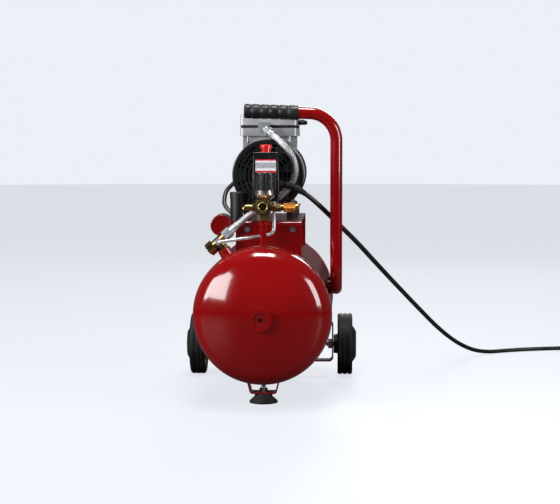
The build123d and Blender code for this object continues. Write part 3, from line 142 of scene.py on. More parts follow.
def new_group(name, inputs, outputs):
    """An empty effect with named number inputs and outputs, and its two end nodes."""
    tree = bpy.data.node_groups.new(name, "ShaderNodeTree")
    for label, value in inputs:
        socket = tree.interface.new_socket(label, in_out="INPUT", socket_type="NodeSocketFloat")
        socket.default_value = value
    for label in outputs:
        tree.interface.new_socket(label, in_out="OUTPUT", socket_type="NodeSocketFloat")
    return tree, tree.nodes.new("NodeGroupInput"), tree.nodes.new("NodeGroupOutput")


def ranged(tree, source, low, high, to_low=0.0, to_high=1.0):
    """A Map Range node on a value, clamped, from low..high to to_low..to_high."""
    node = tree.nodes.new("ShaderNodeMapRange")
    node.inputs["From Min"].default_value = low
    node.inputs["From Max"].default_value = high
    node.inputs["To Min"].default_value = to_low
    node.inputs["To Max"].default_value = to_high
    tree.links.new(source, node.inputs["Value"])
    return node.outputs["Result"]


def worked(tree, how, a, b):
    """A Math node; b is a socket or a number."""
    node = tree.nodes.new("ShaderNodeMath")
    node.operation = how
    tree.links.new(a, node.inputs[0])
    if isinstance(b, (int, float)):
        node.inputs[1].default_value = b
    else:
        tree.links.new(b, node.inputs[1])
    return node.outputs["Value"]


def noise_in(group, scale, detail):
    """A noise over an object's own places; scale is a socket."""
    place = group.nodes.new("ShaderNodeTexCoord")
    noise = group.nodes.new("ShaderNodeTexNoise")
    noise.inputs["Detail"].default_value = detail
    group.links.new(place.outputs["Object"], noise.inputs["Vector"])
    group.links.new(scale, noise.inputs["Scale"])
    return noise.outputs["Fac"]


grain_group, grain_in, grain_out = new_group(
    "surface_grain", (("Fine Scale", 900.0), ("Patch Scale", 14.0)), ("Fine", "Patch")
)
for grain_input, grain_output, grain_detail in (
    ("Fine Scale", "Fine", 3.0),
    ("Patch Scale", "Patch", 5.0),
):
    grain_noise = noise_in(grain_group, grain_in.outputs[grain_input], grain_detail)
    grain_level = ranged(grain_group, grain_noise, low=0.32, high=0.68)
    grain_group.links.new(grain_level, grain_out.inputs[grain_output])

wear_group, wear_in, wear_out = new_group(
    "edge_wear", (("Width", 0.001), ("Breakup Scale", 260.0)), ("Wear",)
)
wear_bevel = wear_group.nodes.new("ShaderNodeBevel")
wear_bevel.samples = 4
wear_group.links.new(wear_in.outputs["Width"], wear_bevel.inputs["Radius"])
wear_face = wear_group.nodes.new("ShaderNodeNewGeometry")
wear_dot = wear_group.nodes.new("ShaderNodeVectorMath")
wear_dot.operation = "DOT_PRODUCT"
wear_group.links.new(wear_bevel.outputs["Normal"], wear_dot.inputs[0])
wear_group.links.new(wear_face.outputs["Normal"], wear_dot.inputs[1])
wear_edge = ranged(wear_group, wear_dot.outputs["Value"], low=0.995, high=0.90)
wear_noise = noise_in(wear_group, wear_in.outputs["Breakup Scale"], 4.0)
wear_gaps = ranged(wear_group, wear_noise, low=0.42, high=0.62)
wear_group.links.new(worked(wear_group, "MULTIPLY", wear_edge, wear_gaps), wear_out.inputs["Wear"])

dust_group, dust_in, dust_out = new_group("settled_dust", (("Scale", 60.0),), ("Dust",))
dust_face = dust_group.nodes.new("ShaderNodeNewGeometry")
dust_parts = dust_group.nodes.new("ShaderNodeSeparateXYZ")
dust_group.links.new(dust_face.outputs["Normal"], dust_parts.inputs["Vector"])
dust_top = ranged(dust_group, dust_parts.outputs["Z"], low=0.55, high=1.0)
dust_noise = noise_in(dust_group, dust_in.outputs["Scale"], 6.0)
dust_spots = ranged(dust_group, dust_noise, low=0.40, high=0.75)
dust_group.links.new(worked(dust_group, "MULTIPLY", dust_top, dust_spots), dust_out.inputs["Dust"])


def placed(material, group, values):
    """A group put into a material with its own input values."""
    node = material.node_tree.nodes.new("ShaderNodeGroup")
    node.node_tree = group
    for label, value in values:
        node.inputs[label].default_value = value
    return node


def blended(material, amount, a, b):
    """A colour mix; a and b are sockets or colours."""
    node = material.node_tree.nodes.new("ShaderNodeMix")
    node.data_type = "RGBA"
    material.node_tree.links.new(amount, node.inputs["Factor"])
    for socket, value in ((node.inputs[6], a), (node.inputs[7], b)):
        if isinstance(value, tuple):
            socket.default_value = (*value, 1)
        else:
            material.node_tree.links.new(value, socket)
    return node.outputs[2]


def finished(name, dark, light, rough, fine=900.0, patch=14.0, depth=0.00004, metal=0.0,
             coat=0.0, wear=None, width=0.001, dust=0.12, gloss=0.5, extra=None):
    """A surface whose colour and gloss vary in patches, with grain, worn edges and dust."""
    material = bpy.data.materials.new(name)
    material.use_nodes = True
    tree = material.node_tree
    link = tree.links.new
    shader = tree.nodes["Principled BSDF"]
    shader.inputs["Metallic"].default_value = metal
    shader.inputs["Coat Weight"].default_value = coat
    shader.inputs["Coat Roughness"].default_value = coat_roughness
    shader.inputs["Specular IOR Level"].default_value = gloss
    grain = placed(material, grain_group, (("Fine Scale", fine), ("Patch Scale", patch)))
    colour = blended(material, grain.outputs["Patch"], dark, light)
    if wear:
        worn = placed(material, wear_group, (("Width", width),))
        colour = blended(material, worn.outputs["Wear"], colour, wear)
    film = placed(material, dust_group, ())
    film_amount = worked(tree, "MULTIPLY", film.outputs["Dust"], dust)
    colour = blended(material, film_amount, colour, dust_colour)
    link(colour, shader.inputs["Base Color"])
    gloss_level = ranged(tree, grain.outputs["Patch"], 0, 1, rough[0], rough[1])
    link(worked(tree, "ADD", gloss_level, film_amount), shader.inputs["Roughness"])
    bump = tree.nodes.new("ShaderNodeBump")
    bump.inputs["Distance"].default_value = depth
    bump.inputs["Strength"].default_value = bump_strength
    height = grain.outputs["Fine"]
    if extra:
        height = extra(material, height)
    link(height, bump.inputs["Height"])
    link(bump.outputs["Normal"], shader.inputs["Normal"])
    return material


def place_parts(material):
    """An object's own X, Y and Z at each point of its surface."""
    tree = material.node_tree
    place = tree.nodes.new("ShaderNodeTexCoord")
    parts = tree.nodes.new("ShaderNodeSeparateXYZ")
    tree.links.new(place.outputs["Object"], parts.inputs["Vector"])
    return parts.outputs


def waves(tree, source, rate):
    """A sine wave over a value; rate is how fast the wave's angle grows with it."""
    return worked(tree, "SINE", worked(tree, "MULTIPLY", source, rate), 0.0)


def raised(tree, height, shape, amount):
    """A shape, made stronger or weaker, added to a surface's height."""
    return worked(tree, "ADD", height, worked(tree, "MULTIPLY", shape, amount))


def dressed(material, *nodes):
    """Gives CAD nodes their finish."""
    for node in nodes:
        for socket in cad[node].material_slots:
            socket.material = material


# Mains lead: a round black PVC flex that leaves the pressure switch, sags behind the
# handle to the floor and ends in a neat coil. Its jacket is slightly glossy.
def eased(step, start, steps):
    """How far a step has come through a change of so many steps, from 0 to 1."""
    return min(1.0, max(0.0, (step - start) / steps))


lead_d = 0.009
lead_points = [
    (0.042, -0.159, 0.399),
    (0.053, -0.159, 0.397),
    (0.080, -0.161, 0.382),
    (0.110, -0.144, 0.354),
    (0.139, -0.122, 0.324),
    (0.172, -0.084, 0.290),
    (0.212, -0.010, 0.242),
    (0.256, 0.084, 0.190),
    (0.304, 0.190, 0.134),
    (0.352, 0.300, 0.079),
    (0.404, 0.402, 0.032),
    (0.458, 0.476, 0.0045),
    (0.532, 0.522, 0.0045),
    (0.608, 0.548, 0.0045),
]
coil_low, coil_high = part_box("lead_coil")
coil_mid = (coil_low + coil_high) / 2
coil_from = math.radians(128)
coil_turn = math.radians(22.5)
coil_steps = 42
coil_r = 0.0553
inner_turn_in = 0.0093
upper_turn_out = 0.0045
plug_rise = 0.0225
for step in range(coil_steps):
    coil_at = coil_from - step * coil_turn
    inner = eased(step, 13, 4)
    layer = eased(step, 27, 4)
    rise = eased(step, 35, 6)
    wind_r = coil_r - inner_turn_in * inner + upper_turn_out * layer
    wind_z = lead_d / 2 + lead_d * layer + plug_rise * rise * rise * (3 - 2 * rise)
    lead_points.append(
        (
            coil_mid.x + wind_r * math.cos(coil_at),
            coil_mid.y + wind_r * math.sin(coil_at),
            wind_z,
        )
    )
plug_low, plug_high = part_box("plug")
plug_axis = Vector((plug_high.x, (plug_low.y + plug_high.y) / 2, (plug_low.z + plug_high.z) / 2))
lead_in_plug = 0.010
lead_points.append((plug_axis.x - lead_in_plug, plug_axis.y, plug_axis.z))
lead_curve = bpy.data.curves.new("mains_lead_flex", "CURVE")
lead_curve.dimensions = "3D"
lead_curve.bevel_depth = lead_d / 2
lead_curve.bevel_resolution = 6
lead_curve.use_fill_caps = True
lead_curve.resolution_u = 8
lead_line = lead_curve.splines.new("NURBS")
lead_line.points.add(len(lead_points) - 1)
for point, place in zip(lead_line.points, lead_points):
    point.co = (*place, 1)
lead_line.order_u = 3
lead_line.use_endpoint_u = True
lead = bpy.data.objects.new("mains_lead_flex", lead_curve)
bpy.context.scene.collection.objects.link(lead)
flex_black = finished(
    "flex_jacket", (0.004, 0.004, 0.0045), (0.010, 0.010, 0.011), (0.34, 0.50), fine=700, dust=0.01
)
lead_curve.materials.append(flex_black)
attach(lead, "frame")
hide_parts("mains_lead", "lead_coil")


# Strain relief: a tapered, ribbed rubber sleeve over the first of the lead, moulded on
# to the gland's cap so that the flex isn't bent sharply there.
def path_of(control_points, steps):
    """The smooth line of a route, as a chain of places."""
    guide_curve = bpy.data.curves.new("route_guide", "CURVE")
    guide_curve.dimensions = "3D"
    guide_curve.resolution_u = steps
    guide_line = guide_curve.splines.new("NURBS")
    guide_line.points.add(len(control_points) - 1)
    for point, place in zip(guide_line.points, control_points):
        point.co = (*place, 1)
    guide_line.order_u = 3
    guide_line.use_endpoint_u = True
    guide = bpy.data.objects.new("route_guide", guide_curve)
    bpy.context.scene.collection.objects.link(guide)
    chain = bpy.data.meshes.new_from_object(guide)
    places = [v.co.copy() for v in chain.vertices]
    bpy.data.objects.remove(guide)
    bpy.data.curves.remove(guide_curve)
    bpy.data.meshes.remove(chain)
    return places


def sleeved(name, places, radii, around=28):
    """A closed tube along a chain of places, a radius at each, with a map in metres."""
    rings = []
    side = Vector((0, 0, 1))
    for i, place in enumerate(places):
        ahead = places[min(i + 1, len(places) - 1)] - places[max(i - 1, 0)]
        ahead.normalize()
        side = (side - ahead * side.dot(ahead)).normalized()
        across = ahead.cross(side)
        ring = []
        for k in range(around):
            turn = 2 * math.pi * k / around
            ring.append(place + radii[i] * (math.cos(turn) * side + math.sin(turn) * across))
        rings.append(ring)
    points = [p for ring in rings for p in ring]
    faces = [
        (
            i * around + k,
            i * around + (k + 1) % around,
            (i + 1) * around + (k + 1) % around,
            (i + 1) * around + k,
        )
        for i in range(len(rings) - 1)
        for k in range(around)
    ]
    faces.append(tuple(reversed(range(around))))
    faces.append(tuple(range((len(rings) - 1) * around, len(rings) * around)))
    mesh = bpy.data.meshes.new(name)
    mesh.from_pydata(points, [], faces)
    walked = [0.0]
    for a, b in zip(places, places[1:]):
        walked.append(walked[-1] + (b - a).length)
    layer = mesh.uv_layers.new(name="wrap")
    spot = 0
    for n, face in enumerate(faces):
        for vertex in face:
            i, k = divmod(vertex, around)
            if n < len(faces) - 2 and k == 0 and face[1] % around == 0:
                k = around
            layer.data[spot].uv = (walked[i], 2 * math.pi * radii[i] * k / around)
            spot += 1
    piece = bpy.data.objects.new(name, mesh)
    bpy.context.scene.collection.objects.link(piece)
    bpy.ops.object.select_all(action="DESELECT")
    piece.select_set(True)
    bpy.context.view_layer.objects.active = piece
    bpy.ops.object.mode_set(mode="EDIT")
    bpy.ops.mesh.select_all(action="SELECT")
    bpy.ops.mesh.normals_make_consistent(inside=False)
    bpy.ops.object.mode_set(mode="OBJECT")
    bpy.ops.object.shade_smooth_by_angle(angle=math.radians(40))
    return piece


relief_places = path_of(lead_points[:5], 40)
relief_len = 0.038
relief_r = 0.0068
relief_taper = 0.0018
relief_rib = 0.0007
relief_ribs = 13
relief_plain_from = 0.9
relief_kept = [relief_places[0]]
relief_walk = 0.0
for a, b in zip(relief_places, relief_places[1:]):
    relief_walk += (b - a).length
    if relief_walk > relief_len:
        break
    relief_kept.append(b)
relief_radii = []
for i in range(len(relief_kept)):
    along = i / (len(relief_kept) - 1)
    ribbed = int(along * relief_ribs) % 2 == 0 and along < relief_plain_from
    relief_radii.append(relief_r - relief_taper * along + (relief_rib if ribbed else 0.0))
relief = sleeved("lead_strain_relief", relief_kept, relief_radii)
soft_black = finished(
    "soft_black_rubber", (0.004, 0.004, 0.004), (0.012, 0.0115, 0.011), (0.50, 0.70), fine=1100,
    depth=0.00006, dust=0.02, wear=(0.06, 0.058, 0.055), gloss=0.35,
)
relief.data.materials.append(soft_black)
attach(relief, "frame")


# Plug: a moulded two-pin mains plug with a ribbed tail, a flat face and two round pins.
# It lies on the coil and is one moulding with the end of the lead.
def turned(name, base, direction, stations, around=48, material=None):
    """A turned piece: a circle at its base, extruded and resized station by station."""
    bpy.ops.object.select_all(action="DESELECT")
    direction = Vector(direction).normalized()
    base = Vector(base)
    bpy.ops.mesh.primitive_circle_add(
        vertices=around,
        radius=stations[0][1],
        fill_type="NGON",
        location=base + direction * stations[0][0],
        rotation=direction.to_track_quat("Z", "Y").to_euler(),
    )
    piece = bpy.context.object
    piece.name = name
    bpy.ops.object.transform_apply(location=True, rotation=True, scale=True)
    bpy.ops.object.mode_set(mode="EDIT")
    bpy.ops.mesh.select_all(action="SELECT")
    for (last, last_r), (here, here_r) in zip(stations, stations[1:]):
        bpy.ops.mesh.extrude_region_move(
            TRANSFORM_OT_translate={"value": direction * (here - last)}
        )
        if abs(here_r - last_r) > 1e-7:
            ratio = here_r / last_r
            bpy.ops.transform.resize(
                value=(ratio, ratio, ratio), center_override=base + direction * here
            )
    bpy.ops.mesh.select_all(action="SELECT")
    bpy.ops.mesh.normals_make_consistent(inside=False)
    bpy.ops.object.mode_set(mode="OBJECT")
    bpy.ops.object.shade_smooth_by_angle(angle=math.radians(38))
    if material:
        piece.data.materials.append(material)
    return piece


def joined(first, *others):
    """Several pieces made one, under the first one's name."""
    bpy.ops.object.select_all(action="DESELECT")
    for piece in (first, *others):
        piece.select_set(True)
    bpy.context.view_layer.objects.active = first
    bpy.ops.object.join()
    return first


pin_len = 0.019
pin_apart = 0.019
pin_sunk = 0.001
plug_len = plug_high.x - plug_low.x - pin_len
plug_r = 0.0179
tail_start = 0.0022
tail_pitch = 0.0026
tail_r = 0.0072
tail_flare = 0.0009
tail_rib = ((0.0, 0.0), (0.0013, 0.0002), (0.0014, -0.0011), (0.0025, -0.0009))
plug_stations = [(0.0, 0.0058), (0.001, 0.0066)]
for rib in range(5):
    rib_at = tail_start + rib * tail_pitch
    rib_r = tail_r + rib * tail_flare
    plug_stations += [(rib_at + on, rib_r + out) for on, out in tail_rib]
plug_stations += [
    (0.0160, 0.0132),
    (0.0240, 0.0146),
    (0.0330, 0.0149),
    (0.0350, 0.0158),
    (0.0362, 0.0174),
    (0.0372, plug_r),
    (plug_len - 0.0008, plug_r),
    (plug_len, 0.0172),
]
plug_body = turned("moulded_plug", plug_axis, (-1, 0, 0), plug_stations, material=flex_black)
pin_metal = finished(
    "plug_pin_nickel", (0.55, 0.54, 0.52), (0.75, 0.74, 0.72), (0.18, 0.30), metal=1.0, dust=0.0
)
plug_pins = []
for pin_side in (-1, 1):
    pin_base = plug_axis + Vector((-plug_len + pin_sunk, pin_apart / 2 * pin_side, 0))
    plug_pins.append(
        turned(
            "plug_pin",
            pin_base,
            (-1, 0, 0),
            [(0, 0.0019), (0.0100, 0.0019), (0.0101, 0.0023), (0.0185, 0.0023), (0.0197, 0.0016)],
            around=24,
            material=pin_metal,
        )
    )
joined(plug_body, *plug_pins)
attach(plug_body, "frame")
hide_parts("plug")


# Tank: two dished steel heads welded to a rolled barrel, sprayed and baked in a deep
# glossy red. The plates' seams are ground nearly flush and show through the paint.
def torus_bead(place, turn, major_r, minor_r, around, across):
    """A ring at a place, with its place and turn worked into its shape."""
    bpy.ops.object.select_all(action="DESELECT")
    bpy.ops.mesh.primitive_torus_add(
        location=place,
        rotation=turn,
        major_segments=around,
        minor_segments=across,
        major_radius=major_r,
        minor_radius=minor_r,
    )
    bpy.ops.object.transform_apply(location=True, rotation=True, scale=True)
    return bpy.context.object


quarter_turn = math.radians(90)
red_dark = (0.165, 0.0003, 0.0005)
red_light = (0.21, 0.0005, 0.0009)
tank_red = finished(
    "tank_red_enamel", red_dark, red_light, (0.11, 0.15), fine=420, patch=7, depth=0.00003,
    coat=0.45, dust=0.03, gloss=0.42,
)
dressed(tank_red, "tank_shell", "tank_bungs")

tank_low, tank_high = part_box("tank_shell")
tank_mid = (tank_low + tank_high) / 2
tank_r = (tank_high.x - tank_low.x) / 2
seam_places = (-0.198, 0.198)
seam_r = 0.0016
seam_sunk = 0.0006
seam_scallops = 150
seam_widened = 1.6
seam_waver = 0.35
seam_beads = []
for seam_y in seam_places:
    bead = torus_bead(
        (tank_mid.x, seam_y, tank_mid.z), (quarter_turn, 0, 0), tank_r - seam_sunk, seam_r,
        around=300, across=10,
    )
    for vertex in bead.data.vertices:
        around_tank = math.atan2(vertex.co.z - tank_mid.z, vertex.co.x - tank_mid.x)
        drift = 3 * math.sin(7 * around_tank)
        scallop = 0.5 + 0.5 * math.sin(seam_scallops * around_tank + drift)
        vertex.co.y = seam_y + (vertex.co.y - seam_y) * (seam_widened + seam_waver * scallop)
    bpy.ops.object.shade_smooth()
    bead.data.materials.append(tank_red)
    seam_beads.append(bead)
seams = joined(*seam_beads)
seams.name = "tank_weld_seams"
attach(seams, "frame")


# End plugs and drain: steel socket plugs painted over with the tank, and a brass drain
# body under the belly with a knurled tap that unscrews by hand.
socket_dark = finished(
    "plug_socket_steel", (0.15, 0.001, 0.002), (0.22, 0.002, 0.003), (0.18, 0.34), coat=0.4,
    wear=(0.16, 0.05, 0.05), width=0.0006, dust=0.03,
)
dressed(socket_dark, "tank_end_plugs")
brass_yellow = finished(
    "machined_brass", (0.20, 0.12, 0.04), (0.52, 0.36, 0.14), (0.20, 0.36), fine=1500, patch=55,
    depth=0.00003, metal=1.0, wear=(0.85, 0.68, 0.38), width=0.0006, dust=0.10,
)
dressed(brass_yellow, "drain_valve_body", "drain_valve_tap")


# Feet and wheels: a bent flat bar welded under each end, a flared rubber foot in front,
# and at the back two moulded wheels with rubber tyres on shouldered bolts.
bracket_red = finished(
    "bracket_red_enamel", red_dark, red_light, (0.14, 0.26), fine=500, patch=16, depth=0.00004,
    coat=0.7, wear=(0.10, 0.085, 0.08), width=0.0007, dust=0.10,
)
dressed(bracket_red, "front_foot_bracket", "wheel_bracket")
foot_black = finished(
    "foot_rubber", (0.005, 0.005, 0.005), (0.014, 0.0135, 0.013), (0.55, 0.75), fine=900, patch=40,
    depth=0.00010, dust=0.05, gloss=0.3,
)
dressed(foot_black, "front_foot", "rubber_mounts", "head_gaskets", "handle_clamps")
zinc_bright = finished(
    "zinc_plate", (0.30, 0.30, 0.32), (0.50, 0.50, 0.52), (0.22, 0.38), fine=1300, patch=90,
    depth=0.00003, metal=1.0, wear=(0.30, 0.30, 0.30), width=0.0005, dust=0.12,
)
dressed(zinc_bright, "bracket_bolts", "mount_bolts", "shaft_bearings", "rotor", "crank_cams")


def tread_marks(material, height):
    """Fine rings round a tyre, side by side across its width, added to its grain."""
    tree = material.node_tree
    rings = waves(tree, place_parts(material)["X"], rate=1400.0)
    return raised(tree, height, rings, amount=0.35)


tyre_black = finished(
    "tyre_rubber", (0.004, 0.004, 0.0045), (0.012, 0.012, 0.012), (0.48, 0.68), fine=700, patch=30,
    depth=0.00010, dust=0.04, gloss=0.2, extra=tread_marks,
)
dressed(tyre_black, "left_tyre", "right_tyre")
hub_black = finished(
    "moulded_hub", (0.004, 0.004, 0.0045), (0.010, 0.010, 0.011), (0.32, 0.48), fine=1500, patch=40,
    depth=0.00004, wear=(0.05, 0.05, 0.05), dust=0.04, gloss=0.45,
)
dressed(hub_black, "left_wheel_hub", "right_wheel_hub")

# Bead lines: two thin raised rings round each side of a tyre, near its tread, as its
# mould leaves them. They turn with their wheel.
bead_line_out = 0.0138
for tyre_node, tyre_body in (("left_tyre", "left_wheel"), ("right_tyre", "right_wheel")):
    tyre_low, tyre_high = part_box(tyre_node)
    tyre_mid = (tyre_low + tyre_high) / 2
    tyre_r = (tyre_high.z - tyre_low.z) / 2
    bead_rings = []
    for ring_side in (-1, 1):
        for ring_r, ring_thick in ((tyre_r - 0.0125, 0.0009), (tyre_r - 0.0155, 0.0006)):
            ring = torus_bead(
                (tyre_mid.x + ring_side * bead_line_out, tyre_mid.y, tyre_mid.z),
                (0, quarter_turn, 0), ring_r, ring_thick, around=128, across=10,
            )
            bpy.ops.object.shade_smooth()
            ring.data.materials.append(tyre_black)
            bead_rings.append(ring)
    bead_ring = joined(*bead_rings)
    bead_ring.name = tyre_node + "_bead_lines"
    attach(bead_ring, tyre_body)


# Handle: a bent steel tube in the tank's red, held beside the tank by two rubber saddles.
# A ribbed rubber grip with finger grooves is pushed over its free end.
dressed(tank_red, "handle_tube")
grip_mesh = cad["handle_grip"].data
grip_low, grip_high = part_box("handle_grip")
grip_ends = []
grip_end_depth = 0.0045
for end_x in (grip_low.x, grip_high.x):
    near = [v.co for v in grip_mesh.vertices if abs(v.co.x - end_x) < grip_end_depth]
    grip_ends.append(sum(near, Vector()) / len(near))
grip_axis = (grip_ends[0] - grip_ends[1]).normalized()
grip_mid = (grip_low + grip_high) / 2
grip_len = (grip_high.x - grip_low.x) - 0.002
grip_start = grip_mid - grip_axis * grip_len / 2
grip_r = (grip_high.y - grip_low.y) / 2
grip_stations = [(0.0, grip_r - 0.0016), (0.0012, grip_r - 0.0002), (0.0042, grip_r)]
groove_count = 5
groove_pitch = 0.0167
groove_from_end = 0.0135
groove_half = ((0.0026, 0.0), (0.0017, 0.0004), (0.0008, 0.0009))
for groove in range(groove_count):
    groove_at = grip_len - groove_from_end - (groove_count - 1 - groove) * groove_pitch
    grip_stations += [(groove_at - off, grip_r - deep) for off, deep in groove_half]
    grip_stations.append((groove_at, grip_r - 0.0011))
    grip_stations += [(groove_at + off, grip_r - deep) for off, deep in reversed(groove_half)]
grip_stations += [
    (grip_len - 0.0042, grip_r),
    (grip_len - 0.0014, grip_r - 0.0006),
    (grip_len, grip_r - 0.0030),
]
grip_black = finished(
    "grip_rubber", (0.004, 0.004, 0.005), (0.010, 0.010, 0.012), (0.34, 0.50), fine=1300, patch=50,
    depth=0.00007, dust=0.015, gloss=0.45,
)
grip = turned("ribbed_grip", grip_start, grip_axis, grip_stations, around=64, material=grip_black)
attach(grip, "frame")
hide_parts("handle_grip")


# Saddle and intake filter: a bent plate welded on the tank to carry the pump, and a
# round sheet-metal filter can on its left, both in the same red.
dressed(bracket_red, "pump_saddle", "intake_filter")


# Pump: a motor stack between two cast crankcases, with a fan and its moulded cover at
# each end. The castings are raw aluminium, and the covers are black nylon.
def flow_marks(material, height):
    """The coarse pebbling of a sand-blasted casting, added to its fine grain."""
    tree = material.node_tree
    place = tree.nodes.new("ShaderNodeTexCoord")
    cells = tree.nodes.new("ShaderNodeTexVoronoi")
    cells.inputs["Scale"].default_value = 420.0
    tree.links.new(place.outputs["Object"], cells.inputs["Vector"])
    return raised(tree, height, cells.outputs["Distance"], amount=0.6)


cast_grey = finished(
    "cast_aluminium", (0.36, 0.365, 0.385), (0.50, 0.505, 0.53), (0.34, 0.52), fine=900, patch=26,
    depth=0.00007, metal=0.45, wear=(0.72, 0.72, 0.73), width=0.0009, dust=0.15, extra=flow_marks,
)
dressed(
    cast_grey, "front_crankcase", "rear_crankcase", "valve_plates", "front_cylinder_head",
    "rear_cylinder_head",
)
sleeve_grey = finished(
    "honed_sleeve", (0.42, 0.43, 0.45), (0.58, 0.59, 0.61), (0.22, 0.34), fine=1800, metal=1.0,
    dust=0.0,
)
dressed(sleeve_grey, "cylinder_sleeves", "front_piston", "rear_piston")


def lamination_lines(material, height):
    """The edges of a motor's stacked steel sheets, added to its varnish."""
    tree = material.node_tree
    sheets = waves(tree, place_parts(material)["Y"], rate=5000.0)
    return raised(tree, height, sheets, amount=0.9)


stack_black = finished(
    "varnished_stack", (0.008, 0.008, 0.009), (0.022, 0.022, 0.024), (0.30, 0.46), fine=900,
    patch=40, depth=0.00012, metal=0.35, wear=(0.16, 0.15, 0.15), dust=0.06, extra=lamination_lines,
)
dressed(stack_black, "motor_stator")
wire_copper = finished(
    "winding_copper", (0.42, 0.12, 0.035), (0.60, 0.22, 0.08), (0.28, 0.42), fine=2500, metal=0.9,
    depth=0.0002, dust=0.0,
)
dressed(wire_copper, "stator_windings")
nylon_black = finished(
    "black_nylon", (0.0035, 0.0035, 0.004), (0.009, 0.009, 0.010), (0.28, 0.42), fine=1400, patch=22,
    depth=0.00005, wear=(0.045, 0.045, 0.048), dust=0.03, gloss=0.5,
)
dressed(
    nylon_black, "front_fan_cover", "rear_fan_cover", "front_fan", "rear_fan", "crossover_pipe",
    "capacitor",
)
dressed(zinc_bright, "head_bolts")
dressed(flex_black, "motor_cable")


# Air fittings: a red riser pipe carries a brass manifold with the outlet in front, a
# quick coupler with an amber sleeve on the right and a relief valve on the left.
dressed(tank_red, "riser_pipe")
dressed(brass_yellow, "air_manifold", "coupler_body", "safety_valve", "check_valve")


def knurl_lines(material, height):
    """Straight knurling round a sleeve whose axis runs across the machine."""
    tree = material.node_tree
    parts = place_parts(material)
    up = worked(tree, "SUBTRACT", parts["Z"], sleeve_mid.z)
    back = worked(tree, "SUBTRACT", parts["Y"], sleeve_mid.y)
    teeth = waves(tree, worked(tree, "ARCTAN2", up, back), rate=44.0)
    return raised(tree, height, teeth, amount=4.0)


sleeve_low, sleeve_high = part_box("coupler_sleeve")
sleeve_mid = (sleeve_low + sleeve_high) / 2
amber_sleeve = finished(
    "amber_anodised", (0.50, 0.16, 0.012), (0.72, 0.27, 0.03), (0.20, 0.34), fine=1500, patch=70,
    depth=0.00012, metal=0.85, wear=(0.80, 0.62, 0.40), width=0.0006, dust=0.05, extra=knurl_lines,
)
dressed(amber_sleeve, "coupler_sleeve")

# Outlet collar: the turned lip round the manifold's front port, polished where adapters
# screw up against it.
manifold_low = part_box("air_manifold")[0]
port_x = 0.002
port_z = 0.362
collar_sunk = 0.0006
collar = torus_bead(
    (port_x, manifold_low.y + collar_sunk, port_z), (quarter_turn, 0, 0), 0.0080, 0.0009,
    around=64, across=12,
)
collar.name = "outlet_collar"
bpy.ops.object.shade_smooth()
collar_brass = finished(
    "polished_brass", (0.62, 0.45, 0.16), (0.80, 0.62, 0.30), (0.12, 0.22), fine=1500, patch=90,
    depth=0.00002, metal=0.9, dust=0.0,
)
collar.data.materials.append(collar_brass)
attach(collar, "frame")


# Regulator: a die-cast bell with a warm nickel finish under the switch, and a black
# fluted knob that turns on its stem.
nickel_warm = finished(
    "warm_nickel", (0.46, 0.37, 0.34), (0.74, 0.63, 0.59), (0.20, 0.34), fine=1200, patch=60,
    depth=0.00004, metal=1.0, wear=(0.85, 0.78, 0.74), width=0.0007, dust=0.06,
)
dressed(nickel_warm, "regulator_body")
knob_black = finished(
    "knob_black", (0.0035, 0.0035, 0.004), (0.008, 0.008, 0.009), (0.20, 0.32), fine=1200, patch=60,
    depth=0.00003, wear=(0.05, 0.05, 0.05), dust=0.01, gloss=0.5,
)
dressed(knob_black, "regulator_knob", "pressure_switch_base", "pressure_switch_cover", "lead_gland")


# Pressure switch: a black moulded base and cover with a red button on top. A printed
# aluminium plate in red, white and grey is stuck to the front of the cover.
cover_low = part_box("pressure_switch_cover")[0]
cover_lean = math.tan(math.radians(3.5))
plate_thick = 0.0005
plate_sunk = 0.0001
plate_zero = cover_low.z - 0.0095
red_above, grey_top, middle_line, grey_low, red_below = 0.0430, 0.0395, 0.0350, 0.0295, 0.0250
plate_outline = (
    (-0.0135, 0.0455),
    (0.0240, 0.0455),
    (0.0240, 0.0150),
    (0.0185, 0.0175),
    (-0.0080, 0.0215),
    (-0.0135, 0.0190),
)


def plate_printing(material, height):
    """Faint pressed rows across the plate, added to its grain."""
    tree = material.node_tree
    rows = waves(tree, place_parts(material)["Z"], rate=2600.0)
    return raised(tree, height, rows, amount=0.5)


plate_white = finished(
    "plate_white_print", (0.52, 0.53, 0.56), (0.72, 0.72, 0.74), (0.24, 0.34), fine=1200,
    patch=320, depth=0.00003, dust=0.0, extra=plate_printing,
)
plate_red = finished(
    "plate_red_print", (0.44, 0.006, 0.012), (0.60, 0.014, 0.020), (0.22, 0.32), fine=1200,
    patch=200, depth=0.00002, dust=0.0,
)
plate_grey = finished(
    "plate_grey_print", (0.20, 0.20, 0.22), (0.42, 0.42, 0.45), (0.30, 0.42), fine=1200,
    patch=700, depth=0.00002, dust=0.0,
)
bpy.ops.object.select_all(action="DESELECT")
bpy.ops.mesh.primitive_circle_add(vertices=len(plate_outline), radius=0.01, fill_type="NGON")
plate = bpy.context.object
plate.name = "switch_rating_plate"
for vertex, (plate_x, plate_z) in zip(plate.data.vertices, plate_outline):
    lean = cover_lean * plate_z
    vertex.co = (plate_x, cover_low.y - plate_sunk + lean, plate_zero + plate_z)
bpy.ops.object.mode_set(mode="EDIT")
for cut_z in (red_above, grey_top, middle_line, grey_low, red_below):
    bpy.ops.mesh.select_all(action="SELECT")
    bpy.ops.mesh.bisect(plane_co=(0, 0, plate_zero + cut_z), plane_no=(0, 0, 1))
bpy.ops.mesh.select_all(action="SELECT")
bpy.ops.mesh.extrude_region_move(TRANSFORM_OT_translate={"value": (0, -plate_thick, 0)})
bpy.ops.mesh.select_all(action="SELECT")
bpy.ops.mesh.normals_make_consistent(inside=False)
bpy.ops.object.mode_set(mode="OBJECT")
for finish in (plate_white, plate_red, plate_grey):
    plate.data.materials.append(finish)
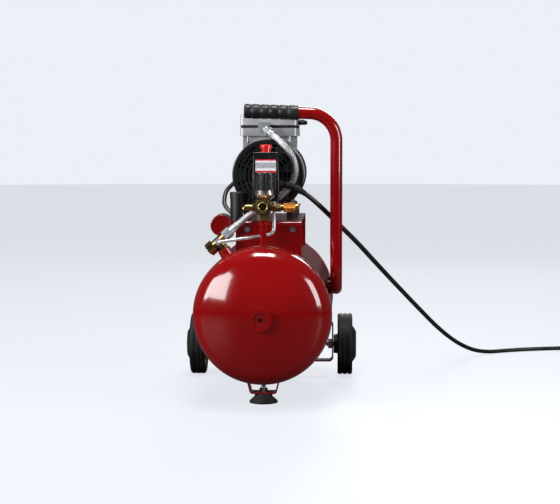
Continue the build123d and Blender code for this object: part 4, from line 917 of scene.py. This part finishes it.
for face in plate.data.polygons:
    rise = face.center.z - plate_zero
    face.material_index = 1 if rise > red_above or rise < red_below else 0
    if grey_low < rise < grey_top:
        face.material_index = 2
plate_bevel = plate.modifiers.new("rounded_rim", "BEVEL")
plate_bevel.width = 0.00015
plate_bevel.segments = 2
plate_bevel.limit_method = "ANGLE"
bpy.ops.object.modifier_apply(modifier="rounded_rim")
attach(plate, "frame")

button_red = finished(
    "button_red", (0.52, 0.004, 0.004), (0.66, 0.008, 0.006), (0.16, 0.26), fine=900, patch=60,
    depth=0.00002, coat=0.5, dust=0.04,
)
dressed(button_red, "switch_button")


# Discharge line: a nickel elbow on the front head, a steel-braided hose that passes in
# front of the fan, the check valve, and a bright pipe back to the switch.
fitting_bright = finished(
    "bright_nickel", (0.52, 0.54, 0.58), (0.74, 0.76, 0.79), (0.16, 0.30), fine=1200, patch=80,
    depth=0.00003, metal=0.65, wear=(0.5, 0.5, 0.5), width=0.0005, dust=0.05,
)
dressed(fitting_bright, "discharge_fittings", "unloader_tube")
hose_points = [
    (0.0165, -0.1171, 0.4889),
    (0.036, -0.137, 0.474),
    (0.060, -0.136, 0.440),
    (0.056, -0.132, 0.404),
    (0.027, -0.127, 0.374),
    (0.000, -0.145, 0.357),
    (-0.0238, -0.176, 0.3476),
    (-0.0491, -0.176, 0.3249),
]
hose_r = 0.0058
strands = 12
strand_slant = 1150.0


def braid_weave(material, height):
    """Two sets of steel strands that cross round the hose, added to their grain."""
    tree = material.node_tree
    wrap = tree.nodes.new("ShaderNodeUVMap")
    wrap.uv_map = "wrap"
    parts = tree.nodes.new("ShaderNodeSeparateXYZ")
    tree.links.new(wrap.outputs["UV"], parts.inputs["Vector"])
    along = worked(tree, "MULTIPLY", parts.outputs["X"], strand_slant)
    around = worked(tree, "MULTIPLY", parts.outputs["Y"], strands / hose_r)
    right = worked(tree, "SINE", worked(tree, "ADD", along, around), 0.0)
    left = worked(tree, "SINE", worked(tree, "SUBTRACT", along, around), 0.0)
    weave = worked(tree, "MAXIMUM", right, left)
    return raised(tree, height, weave, amount=1.6)


steel_braid = finished(
    "steel_braid", (0.34, 0.34, 0.35), (0.66, 0.66, 0.68), (0.26, 0.40), fine=2200, patch=300,
    depth=0.00022, metal=0.7, dust=0.02, extra=braid_weave,
)
hose_places = path_of(hose_points, 22)
hose_radii = [hose_r] * len(hose_places)
hose = sleeved("braided_hose", hose_places, hose_radii, around=40)
hose.data.materials.append(steel_braid)
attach(hose, "frame")
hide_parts("discharge_hose")
